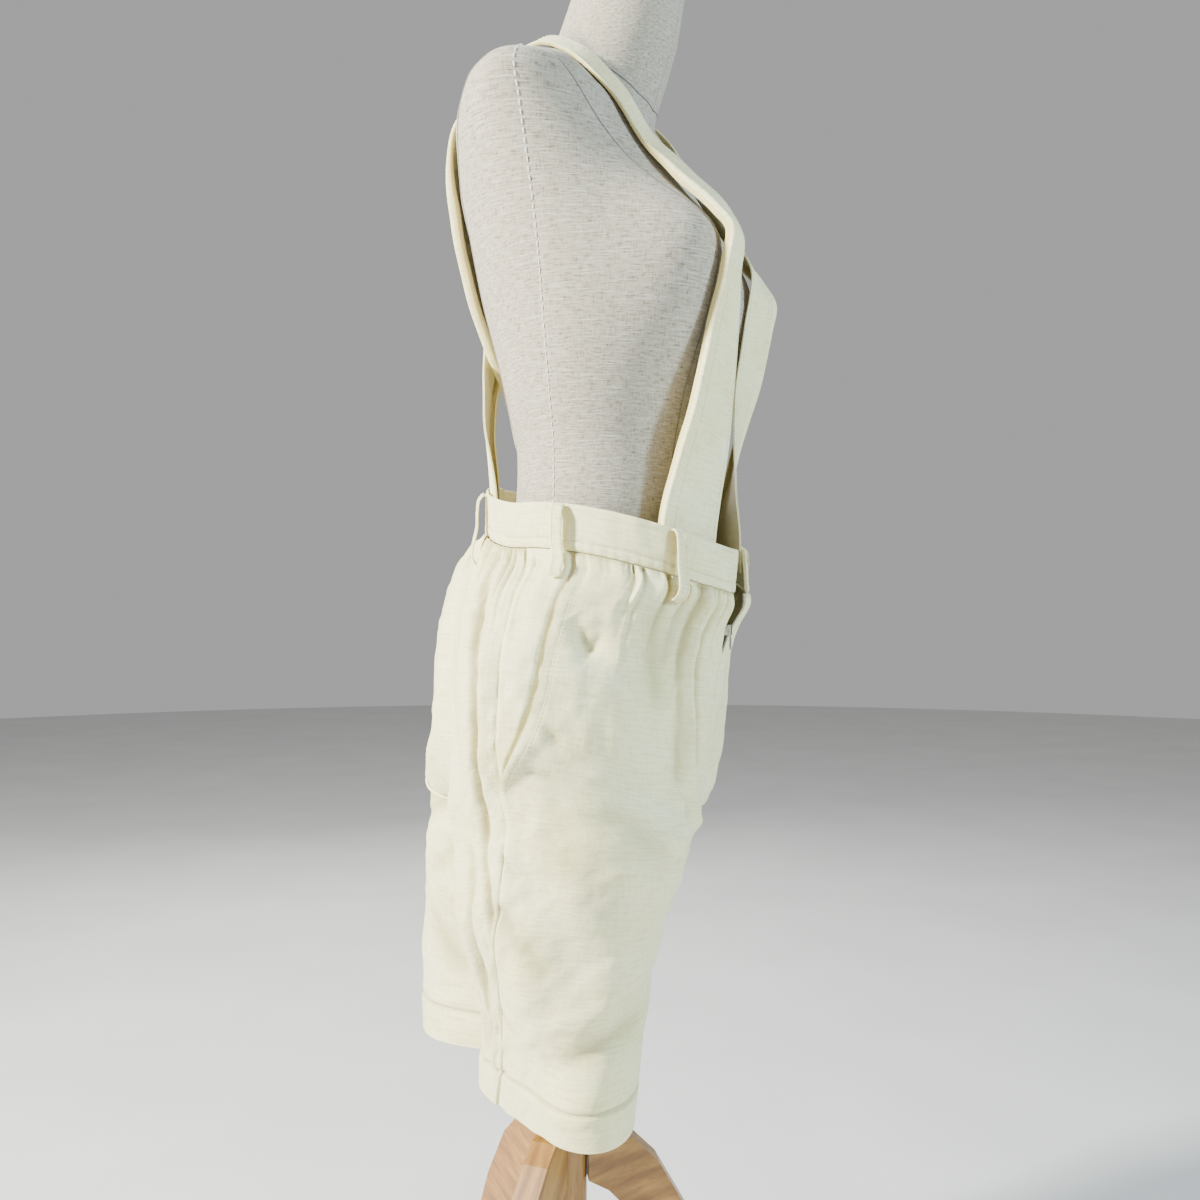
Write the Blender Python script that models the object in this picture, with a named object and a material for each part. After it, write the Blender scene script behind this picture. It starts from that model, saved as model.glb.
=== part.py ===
"""Knee-length suspender shorts on a limbless linen dress form with a wooden tripod.

Metres, +Z up. The form faces -Y, so the wearer's right is -X. Every place below is measured
from the axis of the stand's post, on the floor, and an empty carries the whole model so that
the origin is under the middle of its outline. The post runs down through the right leg of the
shorts, as it does on any form with one centre post, so the left leg hangs free behind it.
"""

import math

import bpy
import bmesh
import numpy as np

# ---- driving dimensions ----
POST_AT = (0.0348, 0.0066)      # the post's axis in plan, from the middle of the outline
CLOTH = 0.0016                 # one layer of the suiting
HEM_EXTRA = 0.0010             # the turned-up hem adds this to the wall
HEM_DEEP = 0.035
SEAM_GAP = 0.0004
LAYER_GAP = 0.0005             # between pieces that lie on each other
STRAP_SINK = 0.0022            # how far a suspender's ends lie inside the band
BAND_HIGH = 0.038
BAND_THICK = 0.0024
CROTCH_DOWN = 0.238            # down the side seam from the band to the level of the crotch
HEM_DOWN = 0.502
FLY_DOWN = 0.064               # where the open zip starts to be closed
STRAP_THICK = 0.0020
STRAP_ROLL = 0.0045            # radius of the rolled outer edge of a suspender
STRAP_LIFT = 0.0009            # a suspender lies this far off the form where it touches
LOOP_WIDE = 0.011
LOOP_THICK = 0.0016
TAPE_THICK = 0.0008
TAPE_SHOWS = 0.002             # the tape stands this far out of the fly's edge
GATHERS = 26                   # gathers along one half of the waist
POST_RADIUS = 0.0205
POST_BOTTOM = 0.285
FORM_BOTTOM = 0.770
FORM_TOP = 1.510
FORM_AXIS = ((1.36, -0.035), (1.51, -0.075))   # the line (z, y) that the form is drawn round
LEG_THICK = 0.024
LEG_ANGLES = {"back": 57.0, "side": 177.0, "front": 297.0}

COLOURS = {                    # linear colour and roughness of each finish
    "suiting": ((0.82, 0.80, 0.66), 0.62),
    "linen": ((0.62, 0.61, 0.57), 0.85),
    "oak": ((0.62, 0.40, 0.19), 0.5),
    "tape": ((0.78, 0.76, 0.66), 0.8),
    "metal": ((0.55, 0.53, 0.48), 0.3),
}


def table(columns, *rows):
    """Rows of numbers as dictionaries with named columns."""
    names = columns.split()
    return [dict(zip(names, row)) for row in rows]


# The legs of the shorts, a row for each section. down is the distance along the side seam below
# the band. The three heights are those of the side seam and of the front and back centre or
# inseam. A section is an ellipse about (x, y): out and inn are its half widths away from and
# towards the other leg, front and back its half depths, and lean turns it outwards from the
# front. full swells its outer front quarter, and flat is how far from (x, y) its outer back
# side is pressed flat. The three angles place the front end, the side seam and the back end.
SECTION = "down side_z front_z back_z x y out inn front back lean full flat front_at side_at back_at"
RIGHT = table(
    SECTION,
    (0.000, 0.948, 0.911, 0.973, 0.000, -0.050, 0.126, 0.088, 0.118, 0.116, 0, 0, .40, 0, 109, 180),
    (0.014, 0.934, 0.900, 0.957, 0.000, -0.042, 0.137, 0.088, 0.126, 0.110, 0, 0, .40, 0, 102, 180),
    (0.040, 0.908, 0.880, 0.925, 0.000, -0.024, 0.153, 0.088, 0.134, 0.091, 0, 0, .40, 0, 96, 180),
    (0.105, 0.845, 0.820, 0.860, 0.000, -0.013, 0.168, 0.088, 0.133, 0.084, 0, 0, .40, 0, 93, 180),
    (0.160, 0.790, 0.752, 0.775, -0.008, -0.012, 0.158, 0.088, 0.126, 0.087, 0, 0, .40, -8, 94, 186),
    (0.200, 0.752, 0.712, 0.712, -0.034, -0.020, 0.127, 0.088, 0.116, 0.097, 0, 0, .40, -42, 98, 222),
    (0.238, 0.714, 0.690, 0.690, -0.059, -0.034, 0.097, 0.101, 0.101, 0.106, 0, 0, .40, -104, 104, 256),
    (0.290, 0.662, 0.645, 0.645, -0.056, -0.025, 0.099, 0.096, 0.095, 0.098, -6, .02, .16, -103, 110, 257),
    (0.370, 0.582, 0.575, 0.575, -0.041, -0.012, 0.104, 0.100, 0.086, 0.086, -12, .08, .080, -88, 127, 272),
    (0.440, 0.512, 0.508, 0.508, -0.031, -0.003, 0.107, 0.103, 0.078, 0.080, -17, .14, .057, -70, 147, 290),
    (0.502, 0.450, 0.452, 0.456, -0.026, 0.002, 0.109, 0.103, 0.071, 0.078, -20, .20, .048, -55, 169, 305),
)
LEFT = table(
    SECTION,
    (0.000, 0.948, 0.911, 0.973, 0.000, -0.050, 0.126, 0.048, 0.118, 0.116, 0, 0, .40, 0, 104, 180),
    (0.014, 0.934, 0.900, 0.957, 0.000, -0.042, 0.137, 0.048, 0.126, 0.160, 0, 0, .40, 0, 103, 180),
    (0.040, 0.908, 0.880, 0.925, 0.000, -0.024, 0.153, 0.048, 0.134, 0.168, 0, 0, .40, 0, 102, 180),
    (0.105, 0.845, 0.820, 0.860, 0.000, -0.011, 0.170, 0.048, 0.133, 0.175, 0, 0, .40, 0, 101, 180),
    (0.160, 0.790, 0.752, 0.775, 0.014, -0.002, 0.157, 0.048, 0.131, 0.174, 0, 0, .40, -8, 100, 190),
    (0.200, 0.752, 0.712, 0.712, 0.060, 0.018, 0.108, 0.048, 0.130, 0.160, 0, 0, .40, -38, 100, 232),
    (0.238, 0.714, 0.690, 0.690, 0.100, 0.045, 0.071, 0.069, 0.129, 0.145, 0, 0, .40, -70, 100, 290),
    (0.290, 0.662, 0.645, 0.645, 0.098, 0.058, 0.069, 0.064, 0.119, 0.133, 4, 0, .40, -70, 100, 290),
    (0.370, 0.582, 0.575, 0.575, 0.114, 0.074, 0.067, 0.065, 0.116, 0.122, 9, 0, .40, -68, 102, 292),
    (0.440, 0.512, 0.508, 0.508, 0.126, 0.085, 0.066, 0.064, 0.112, 0.115, 14, 0, .40, -66, 104, 294),
    (0.505, 0.445, 0.445, 0.445, 0.133, 0.093, 0.066, 0.064, 0.110, 0.113, 19, 0, .40, -64, 106, 296),
)
FLAT_AT = 145                  # which way the flat side faces, 90 being out and 180 back
FORK = 2.2                     # how closely the added width at the crotch keeps to the seams
LEGS = {"right": (-1, RIGHT), "left": (1, LEFT)}

# The largest folds, as ridges (depth above 0) or troughs that run from one place to another.
# round is the share of the way round a leg, from the front end over the side to the back end.
FOLD = "round_0 down_0 round_1 down_1 wide depth"
FOLDS = {
    "right": table(
        FOLD,
        (0.50, 0.005, 0.50, 0.200, 0.016, -0.0060),    # the side seam lies in a valley
        (0.60, 0.010, 0.62, 0.235, 0.030, 0.0070),     # the lit swell behind it
        (0.71, 0.020, 0.70, 0.300, 0.010, 0.0050),     # the long back crease
        (0.70, 0.300, 0.60, 0.470, 0.014, 0.0050),
        (0.80, 0.020, 0.80, 0.190, 0.016, -0.0060),
        (0.88, 0.015, 0.84, 0.330, 0.018, 0.0070),     # the fold that hides the other leg
        (0.370, 0.052, 0.322, 0.084, 0.010, -0.0050),  # the dimple in front of the pocket
        (0.304, 0.034, 0.320, 0.080, 0.010, -0.0040),
        (0.46, 0.265, 0.30, 0.345, 0.022, -0.0060),    # drag lines where the leg twists
        (0.36, 0.440, 0.14, 0.360, 0.022, -0.0060),
        (0.27, 0.300, 0.27, 0.502, 0.022, 0.0045),     # the front crease at the near corner
        (0.10, 0.120, 0.12, 0.300, 0.016, 0.0060),     # the fold along the front
        (0.17, 0.030, 0.18, 0.150, 0.016, -0.0045),
        (0.80, 0.300, 0.86, 0.490, 0.030, -0.0060),
    ),
    "left": table(
        FOLD,
        (0.50, 0.005, 0.50, 0.200, 0.016, -0.0050),
        (0.60, 0.010, 0.62, 0.235, 0.030, 0.0050),
        (0.74, 0.020, 0.76, 0.300, 0.014, 0.0060),
        (0.87, 0.010, 0.87, 0.150, 0.050, 0.0160),     # the seat hangs back over the left leg
        (0.86, 0.020, 0.88, 0.180, 0.014, -0.0050),
        (0.38, 0.080, 0.34, 0.105, 0.013, -0.0050),
        (0.25, 0.240, 0.25, 0.505, 0.018, 0.0090),     # creases of the leg that hangs empty
        (0.76, 0.300, 0.76, 0.505, 0.018, 0.0090),
        (0.42, 0.300, 0.33, 0.420, 0.022, -0.0060),
        (0.62, 0.330, 0.70, 0.440, 0.022, -0.0050),
        (0.12, 0.100, 0.13, 0.230, 0.015, 0.0050),
        (0.18, 0.030, 0.19, 0.150, 0.015, -0.0040),
        (0.92, 0.330, 0.90, 0.480, 0.024, -0.0060),
    ),
}

# The slant pocket's edge: down the side, and how far round it is there.
POCKET_EDGE = table("down round", (0.000, 0.392), (0.025, 0.396), (0.105, 0.412), (0.150, 0.436),
                    (0.185, 0.472), (0.206, 0.4996))
POCKET_BOTTOM = 0.208
POCKET_UNDERLAP = 0.040
POCKET_GAPE = 0.0090           # the mouth stands open this far near its lower end

# The rows of a panel, down from the band. Those above GATHERED_TO have twice the columns.
TOP_ROWS = (0.000, 0.007, 0.017, 0.034, 0.060)
LOWER_ROWS = (0.086, 0.114, 0.142, 0.165, 0.184, 0.200, 0.213, 0.225, 0.238, 0.262, 0.298, 0.340,
              0.382, 0.424, 0.464, 0.502)
PANEL_COLUMNS = 39             # in the gathered rows; below them every second column goes on

# The form, a row for each level: half its width, and its front and back.
FORM = table(
    "z half front back",
    (0.770, 0.134, -0.104, 0.066),
    (0.800, 0.139, -0.109, 0.070),
    (0.840, 0.141, -0.114, 0.071),
    (0.880, 0.136, -0.119, 0.064),
    (0.920, 0.126, -0.124, 0.052),
    (0.960, 0.119, -0.130, 0.041),
    (0.990, 0.117, -0.133, 0.035),
    (1.030, 0.118, -0.134, 0.033),
    (1.070, 0.126, -0.138, 0.040),
    (1.120, 0.136, -0.142, 0.051),
    (1.170, 0.145, -0.143, 0.064),
    (1.220, 0.155, -0.136, 0.073),
    (1.260, 0.164, -0.122, 0.079),
    (1.300, 0.174, -0.104, 0.077),
    (1.328, 0.180, -0.088, 0.062),
    (1.341, 0.173, -0.076, 0.045),
    (1.353, 0.148, -0.068, 0.031),
    (1.366, 0.114, -0.062, 0.020),
    (1.381, 0.083, -0.057, 0.012),
    (1.397, 0.060, -0.052, 0.006),
    (1.415, 0.040, -0.048, 0.000),
    (1.510, 0.010, -0.040, -0.030),
)
NECK = table(
    "z half front back",
    (1.290, 0.046, -0.066, 0.020),
    (1.335, 0.052, -0.080, 0.014),
    (1.360, 0.054, -0.089, 0.008),
    (1.385, 0.054, -0.098, 0.003),
    (1.415, 0.053, -0.107, -0.003),
    (1.455, 0.051, -0.114, -0.015),
    (1.510, 0.051, -0.125, -0.029),
)
FORM_LEVELS = (
    0.770, 0.800, 0.850, 0.900, 0.950, 0.990, 1.030, 1.070, 1.110, 1.145, 1.175, 1.205, 1.235,
    1.265, 1.295, 1.320, 1.336, 1.349, 1.361, 1.373, 1.386, 1.400, 1.420, 1.450, 1.510,
)
FORM_COLUMNS = 36
BUST = {"x": 0.080, "z": 1.180, "wide": 0.050, "high": 0.082, "proud": 0.041}

# The suspenders, a row for each station from the front of the band over the shoulder to the
# back of the band. The outer edge comes first, then the inner one. The first and last two
# stations are worked out from the band.
STRAP = "outer_x outer_y outer_z inner_x inner_y inner_z"
RIGHT_STRAP = table(
    STRAP,
    (-0.090, -0.137, 1.026, -0.032, -0.161, 1.010),
    (-0.087, -0.154, 1.082, -0.038, -0.170, 1.074),
    (-0.087, -0.166, 1.138, -0.048, -0.177, 1.130),
    (-0.088, -0.177, 1.180, -0.056, -0.181, 1.176),
    (-0.088, -0.181, 1.210, -0.058, -0.184, 1.208),
    (-0.090, -0.169, 1.224, -0.060, -0.173, 1.230),
    (-0.093, -0.139, 1.254, -0.063, -0.142, 1.266),
    (-0.097, -0.106, 1.289, -0.066, -0.106, 1.306),
    (-0.102, -0.072, 1.319, -0.070, -0.072, 1.338),
    (-0.107, -0.044, 1.342, -0.075, -0.042, 1.362),
    (-0.110, -0.016, 1.354, -0.078, -0.012, 1.374),
    (-0.109, 0.018, 1.349, -0.076, 0.018, 1.365),
    (-0.104, 0.045, 1.331, -0.068, 0.042, 1.343),
    (-0.098, 0.063, 1.309, -0.060, 0.062, 1.318),
    (-0.092, 0.073, 1.284, -0.051, 0.075, 1.289),
    (-0.081, 0.073, 1.241, -0.038, 0.076, 1.250),
    (-0.062, 0.071, 1.188, -0.020, 0.071, 1.204),
    (-0.034, 0.064, 1.136, 0.008, 0.062, 1.156),
    (-0.002, 0.060, 1.092, 0.036, 0.057, 1.110),
    (0.028, 0.062, 1.050, 0.062, 0.056, 1.060),
)
LEFT_STRAP = table(
    STRAP,
    (0.092, -0.137, 1.026, 0.027, -0.158, 1.010),
    (0.092, -0.153, 1.075, 0.030, -0.156, 1.070),
    (0.092, -0.168, 1.118, 0.038, -0.157, 1.118),
    (0.091, -0.177, 1.160, 0.044, -0.162, 1.158),
    (0.090, -0.181, 1.186, 0.050, -0.165, 1.186),
    (0.092, -0.168, 1.206, 0.058, -0.164, 1.212),
    (0.095, -0.141, 1.240, 0.063, -0.142, 1.254),
    (0.098, -0.110, 1.284, 0.067, -0.109, 1.303),
    (0.103, -0.072, 1.317, 0.071, -0.072, 1.338),
    (0.108, -0.044, 1.342, 0.076, -0.042, 1.362),
    (0.111, -0.016, 1.354, 0.079, -0.012, 1.374),
    (0.110, 0.018, 1.349, 0.077, 0.018, 1.365),
    (0.104, 0.046, 1.331, 0.068, 0.043, 1.343),
    (0.098, 0.066, 1.307, 0.060, 0.065, 1.317),
    (0.091, 0.080, 1.280, 0.052, 0.082, 1.288),
    (0.078, 0.084, 1.238, 0.038, 0.089, 1.250),
    (0.056, 0.084, 1.188, 0.016, 0.086, 1.202),
    (0.024, 0.078, 1.136, -0.014, 0.078, 1.152),
    (-0.008, 0.073, 1.090, -0.044, 0.064, 1.104),
    (-0.034, 0.064, 1.050, -0.068, 0.052, 1.056),
)
STRAP_ROWS = 44

# Where the belt loops and suspenders meet the band, as shares of the way round a half.
LOOPS = table("leg place round", ("right", "front", 0.205), ("right", "side", 0.424),
              ("right", "back", 0.757), ("left", "front", 0.225), ("left", "side", 0.466),
              ("left", "back", 0.794))
STRAP_FRONT_ROUND = {"right": (0.228, 0.094), "left": (0.250, 0.075)}
STRAP_BACK_ROUND = {"right": (0.700, 0.815), "left": (0.740, 0.850)}


# ---- curves and surfaces ----
def steady_slopes(places, values):
    """Slopes at the places of a smooth curve that never overshoots the values."""
    run = np.diff(places)
    rise = np.diff(values) / run
    slope = np.concatenate([[rise[0]], np.zeros(len(places) - 2), [rise[-1]]])
    for i in range(1, len(places) - 1):
        if rise[i - 1] * rise[i] > 0:
            before, after = 2 * run[i] + run[i - 1], run[i] + 2 * run[i - 1]
            slope[i] = (before + after) / (before / rise[i - 1] + after / rise[i])
    return slope


CURVES = {}                    # the slopes of each table, worked out once


def read(rows, key, names, at):
    """The named columns of a table, smoothly between its rows."""
    names = names.split()
    told = (id(rows), *names)
    if told not in CURVES:
        places = np.array([row[key] for row in rows], float)
        values = np.array([[row[name] for name in names] for row in rows], float)
        slopes = np.stack([steady_slopes(places, column) for column in values.T], axis=-1)
        CURVES[told] = places, values, slopes
    places, values, slopes = CURVES[told]
    at = np.asarray(at, float)
    i = np.clip(np.searchsorted(places, at) - 1, 0, len(places) - 2)
    run = (places[i + 1] - places[i])[..., None]
    t = np.clip((at - places[i])[..., None] / run, 0, 1)
    found = ((2 * t**3 - 3 * t**2 + 1) * values[i] + (t**3 - 2 * t**2 + t) * run * slopes[i]
             + (3 * t**2 - 2 * t**3) * values[i + 1] + (t**3 - t**2) * run * slopes[i + 1])
    found = np.moveaxis(found, -1, 0)
    return found[0] if len(names) == 1 else found


def step(t):
    """0 below 0, 1 above 1, and smooth between."""
    t = np.clip(t, 0, 1)
    return t * t * (3 - 2 * t)


def unit(v):
    return v / np.maximum(np.linalg.norm(v, axis=-1, keepdims=True), 1e-12)


def own_section(leg, rounds, down):
    """Points of a leg's smooth sections, before the two legs are joined at the centre."""
    side, rows = LEGS[leg]
    names = SECTION.split(None, 1)[1]
    at = dict(zip(names.split(), read(rows, "down", names, down)))
    front_half = rounds < 0.5
    share = np.abs(1 - 2 * rounds)         # 0 at the side seam and 1 at either end
    straight, end_at = np.where(front_half, 0, 180), np.where(front_half, at["front_at"], at["back_at"])
    turn = np.radians(at["side_at"] + (straight - at["side_at"]) * share
                      + (end_at - straight) * share**FORK)
    swell = 1 + at["full"] * np.sin(2 * turn) ** 2 * (np.cos(turn) > 0) * (np.sin(turn) > 0)
    out = swell * np.sin(turn) * np.where(np.sin(turn) > 0, at["out"], at["inn"])
    ahead = swell * np.cos(turn) * np.where(np.cos(turn) > 0, at["front"], at["back"])
    facing = math.radians(FLAT_AT)
    press = np.maximum(out * math.sin(facing) + ahead * math.cos(facing), 0) / at["flat"]
    out, ahead = (a / (1 + press**6) ** (1 / 6) for a in (out, ahead))
    lean = np.radians(at["lean"])
    x = at["x"] + side * (out * np.cos(lean) + ahead * np.sin(lean))
    y = at["y"] - (ahead * np.cos(lean) - out * np.sin(lean))
    end_z = np.where(front_half, at["front_z"], at["back_z"])
    z = at["side_z"] + (end_z - at["side_z"]) * np.cos(np.pi * rounds) ** 2
    return np.stack([x, y, z], axis=-1)


def section(leg, rounds, down):
    """The smooth outside of a leg; above the crotch both legs end on one centre seam."""
    rounds, down = np.broadcast_arrays(np.asarray(rounds, float), np.asarray(down, float))
    points = own_section(leg, rounds, down)
    shared = 1 - step((down - CROTCH_DOWN) / 0.05)
    for end in (0.0, 1.0):
        ends = [own_section(name, np.full_like(down, end), down) for name in LEGS]
        seam = (ends[0] + ends[1]) / 2
        own = ends[0] if leg == "right" else ends[1]
        near = np.clip(1 - np.abs(rounds - end) / 0.22, 0, 1) ** 2
        points = points + (seam - own) * (near * shared)[..., None]
    points[..., 0] += LEGS[leg][0] * SEAM_GAP / 2
    return points


def outward(leg, rounds, down):
    """The direction out of the cloth; the two legs share it at the centre seam."""
    rounds, down = np.broadcast_arrays(np.asarray(rounds, float), np.asarray(down, float))
    d = 0.004
    along = section(leg, rounds + d, down) - section(leg, rounds - d, down)
    below = (section(leg, rounds, np.minimum(down + d, HEM_DOWN))
             - section(leg, rounds, np.maximum(down - d, 0)))
    normal = unit(np.cross(along, below)) * -LEGS[leg][0]
    under = np.radians(90) * step((down - 0.150) / (CROTCH_DOWN - 0.150))
    apart = step((down - 0.200) / (CROTCH_DOWN - 0.200)) * -LEGS[leg][0]
    for end, way in ((0.0, -1), (1.0, 1)):
        seam = unit(np.stack([apart, way * np.cos(under), -np.sin(under)], axis=-1))
        near = (np.clip(1 - np.abs(rounds - end) / 0.06, 0, 1)
                * (1 - step((down - CROTCH_DOWN) / 0.03)))[..., None]
        normal = unit(normal * (1 - near) + seam * near)
    return normal


def gather_height(rounds, down):
    """How far the gathers under the band stand in or out, uneven along the band."""
    wander = 0.22 * np.sin(9.1 * rounds + 0.4) + 0.16 * np.sin(23.0 * rounds + 1.1)
    wave = np.sin(2 * np.pi * (rounds * GATHERS + wander))
    deep = 0.55 + 0.25 * np.sin(17.0 * rounds + 2.0) + 0.35 * step((rounds - 0.5) / 0.2)
    deep = deep * (1 - 0.6 * step((rounds - 0.28) / 0.06) * (1 - step((rounds - 0.50) / 0.03)))
    swell = (down / 0.012) * np.exp(1 - down / 0.012)
    reach = 0.055 + 0.035 * np.sin(31.0 * rounds + 0.7)
    return wave * deep * (0.0009 + 0.0019 * swell) * (1 - step(down / reach))


def fold_height(leg, rounds, down):
    """How far the folds stand in or out."""
    height = np.zeros(np.broadcast(rounds, down).shape)
    girth = 0.42 + 0.18 * step((down - 0.15) / 0.1)
    for fold in FOLDS[leg]:
        run = np.array([(fold["round_1"] - fold["round_0"]) * 0.5, fold["down_1"] - fold["down_0"]])
        place = np.stack([(rounds - fold["round_0"]) * 0.5, down - fold["down_0"]], axis=-1)
        t = np.clip((place @ run) / (run @ run), 0, 1)
        away = place - t[..., None] * run
        away[..., 0] *= girth / 0.5
        far = np.linalg.norm(away, axis=-1) / fold["wide"]
        height = height + fold["depth"] * np.exp(-far**2) * (0.35 + 0.65 * np.sin(np.pi * t) ** 0.5)
    return height * step(down / 0.03) * (1 - 0.35 * step((down - 0.46) / 0.04))


def cloth(leg, rounds, down, lift=0.0):
    """A point of the cloth's outside, moved out by lift."""
    rounds, down = np.broadcast_arrays(np.asarray(rounds, float), np.asarray(down, float))
    height = gather_height(rounds, down) + fold_height(leg, rounds, down) + lift
    centre = np.minimum(rounds, 1 - rounds)
    calm = step(centre / 0.03)         # nothing moves the centre seams and inseams
    height = (height - lift) * calm + lift
    way = outward(leg, rounds, down)
    way[..., 2] *= step(down / 0.012)  # the top edge stays level under the band
    points = section(leg, rounds, down) + way * height[..., None]
    return points + fly_opening(leg, rounds, down)


def fly_opening(leg, rounds, down):
    """The open fly parts the two fronts in a V above FLY_DOWN."""
    part = 0.0115 * np.clip(1 - down / FLY_DOWN, 0, 1) ** 0.6
    near = np.clip(1 - rounds / 0.16, 0, 1) ** 1.5
    back = 0.35 if leg == "right" else -0.20
    shift = np.zeros(np.broadcast(rounds, down).shape + (3,))
    shift[..., 0] = LEGS[leg][0] * part * near
    shift[..., 1] = part * near * back
    return shift


# ---- meshes ----
def material(name):
    made = bpy.data.materials.get(name)
    if made is None:
        made = bpy.data.materials.new(name)
        made.use_nodes = True
        shader = made.node_tree.nodes["Principled BSDF"]
        colour, rough = COLOURS[name]
        shader.inputs["Base Color"].default_value = (*colour, 1.0)
        shader.inputs["Roughness"].default_value = rough
        shader.inputs["Metallic"].default_value = 1.0 if name == "metal" else 0.0
    return made


def add(name, points, faces, finish, smooth=50):
    """One closed object from points and faces, its edges sharp from an angle on."""
    mesh = bpy.data.meshes.new(name)
    mesh.from_pydata([tuple(map(float, p)) for p in points], [], [tuple(f) for f in faces])
    work = bmesh.new()
    work.from_mesh(mesh)
    bmesh.ops.triangulate(work, faces=[f for f in work.faces if len(f.verts) > 3])
    bmesh.ops.recalc_face_normals(work, faces=work.faces)
    work.to_mesh(mesh)
    work.free()
    if smooth:
        mesh.shade_smooth()
        mesh.set_sharp_from_angle(angle=math.radians(smooth))
    mesh.materials.append(material(finish))
    made = bpy.data.objects.new(name, mesh)
    made.parent = bpy.data.objects["stand_axis"]
    bpy.context.scene.collection.objects.link(made)
    return made


def strip(upper, lower):
    """Faces between two rows of point numbers, of equal length or two to one."""
    faces = []
    if len(upper) == len(lower):
        for i in range(len(upper) - 1):
            faces.append((upper[i], upper[i + 1], lower[i + 1]))
            faces.append((upper[i], lower[i + 1], lower[i]))
        return faces
    for i in range(len(lower) - 1):
        a, b, c = upper[2 * i], upper[2 * i + 1], upper[2 * i + 2]
        faces += [(a, b, lower[i]), (b, lower[i + 1], lower[i]), (b, c, lower[i + 1])]
    return faces


def wall(name, outer, inner, finish):
    """A closed wall between two matching sets of rows."""
    points, numbers = [], []
    for rows in (outer, inner):
        for row in rows:
            numbers.append(range(len(points), len(points) + len(row)))
            points.extend(row)
    count = len(outer)
    out, inn = numbers[:count], numbers[count:]
    faces = []
    for i in range(count - 1):
        faces += strip(out[i], out[i + 1])
        faces += [f[::-1] for f in strip(inn[i], inn[i + 1])]
        for j in (0, -1):
            faces.append((out[i][j], out[i + 1][j], inn[i + 1][j]))
            faces.append((out[i][j], inn[i + 1][j], inn[i][j]))
    for i in (0, count - 1):
        faces += strip(out[i], inn[i])
    return add(name, points, faces, finish, 75)


def tube(name, rings, finish):
    """A closed body through rings of points, with flat ends."""
    count = len(rings[0])
    points = [p for ring in rings for p in ring]
    faces = []
    for i in range(len(rings) - 1):
        for j in range(count):
            a, b = i * count + j, i * count + (j + 1) % count
            faces.append((a, b, b + count))
            faces.append((a, b + count, a + count))
    faces.append(range(count))
    faces.append(range(len(points) - count, len(points)))
    return add(name, points, faces, finish)


def prism(name, outline, place, finish, smooth=0):
    """An outline pushed through; place(u, v, end) gives a point at either end."""
    count = len(outline)
    points = [place(u, v, end) for end in (0, 1) for u, v in outline]
    faces = [(i, (i + 1) % count, count + (i + 1) % count, count + i) for i in range(count)]
    faces += [tuple(range(count)), tuple(range(count, 2 * count))]
    return add(name, points, faces, finish, smooth)


# ---- the shorts ----
def pocket_round(down):
    return np.where(down < POCKET_EDGE[-1]["down"], read(POCKET_EDGE, "down", "round", down), 0.4996)


def wall_thickness(down):
    return CLOTH + HEM_EXTRA * step((down - (HEM_DOWN - HEM_DEEP)) / 0.004)


def panel_rows(leg, first, last, lift=0.0, mouth=False):
    """Outer and inner rows of a panel between two edges, given as functions of the drop."""
    outer, inner = [], []
    for down in TOP_ROWS + LOWER_ROWS:
        count = PANEL_COLUMNS if down in TOP_ROWS else (PANEL_COLUMNS + 1) // 2
        rounds = np.linspace(first(down), last(down), count)
        rise = np.full(count, float(lift))
        if mouth:
            open_here = math.exp(-(((down - 0.176) / 0.026) ** 2))
            rise += POCKET_GAPE * open_here * np.exp(-(((rounds - last(down)) / 0.032) ** 2))
        points = cloth(leg, rounds, down, rise)
        normal = outward(leg, rounds, np.full(count, down))
        outer.append(points)
        inner.append(points - normal * wall_thickness(down))
    return outer, inner


def shorts_panels():
    edge = SEAM_GAP
    for leg in LEGS:
        wall(f"front_{leg}", *panel_rows(leg, lambda d: edge, pocket_round, mouth=True), "suiting")
        wall(f"back_{leg}", *panel_rows(leg, lambda d: 0.5 + edge, lambda d: 1 - edge), "suiting")


def pocket_side(leg):
    """The piece behind the slant opening: flush at the side seam, under the front's edge."""
    outer, inner = [], []
    for down in [d for d in TOP_ROWS + LOWER_ROWS if d < POCKET_BOTTOM] + [POCKET_BOTTOM]:
        edge = float(pocket_round(down))
        rounds = np.linspace(edge - POCKET_UNDERLAP, 0.4996, 14)
        under = 1 - step((rounds - edge - 0.004) / 0.014)
        sink = under * (CLOTH + 3 * LAYER_GAP)
        points = cloth(leg, rounds, down, -sink)
        normal = outward(leg, rounds, np.full(len(rounds), down))
        outer.append(points)
        inner.append(points - normal * CLOTH)
    wall(f"pocket_side_{leg}", outer, inner, "suiting")


def band_point(leg, rounds, high, lift=0.0):
    """A place on the outside of the band, high above its lower edge."""
    points = section(leg, rounds, 0.0) + fly_opening(leg, rounds, 0.0) * (1 - high / BAND_HIGH * 0.6)
    normal = outward(leg, rounds, 0.0)
    normal[..., 2] = 0
    points = points + unit(normal) * (lift + 0.0004)
    points[..., 2] += high + SEAM_GAP
    return points


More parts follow.
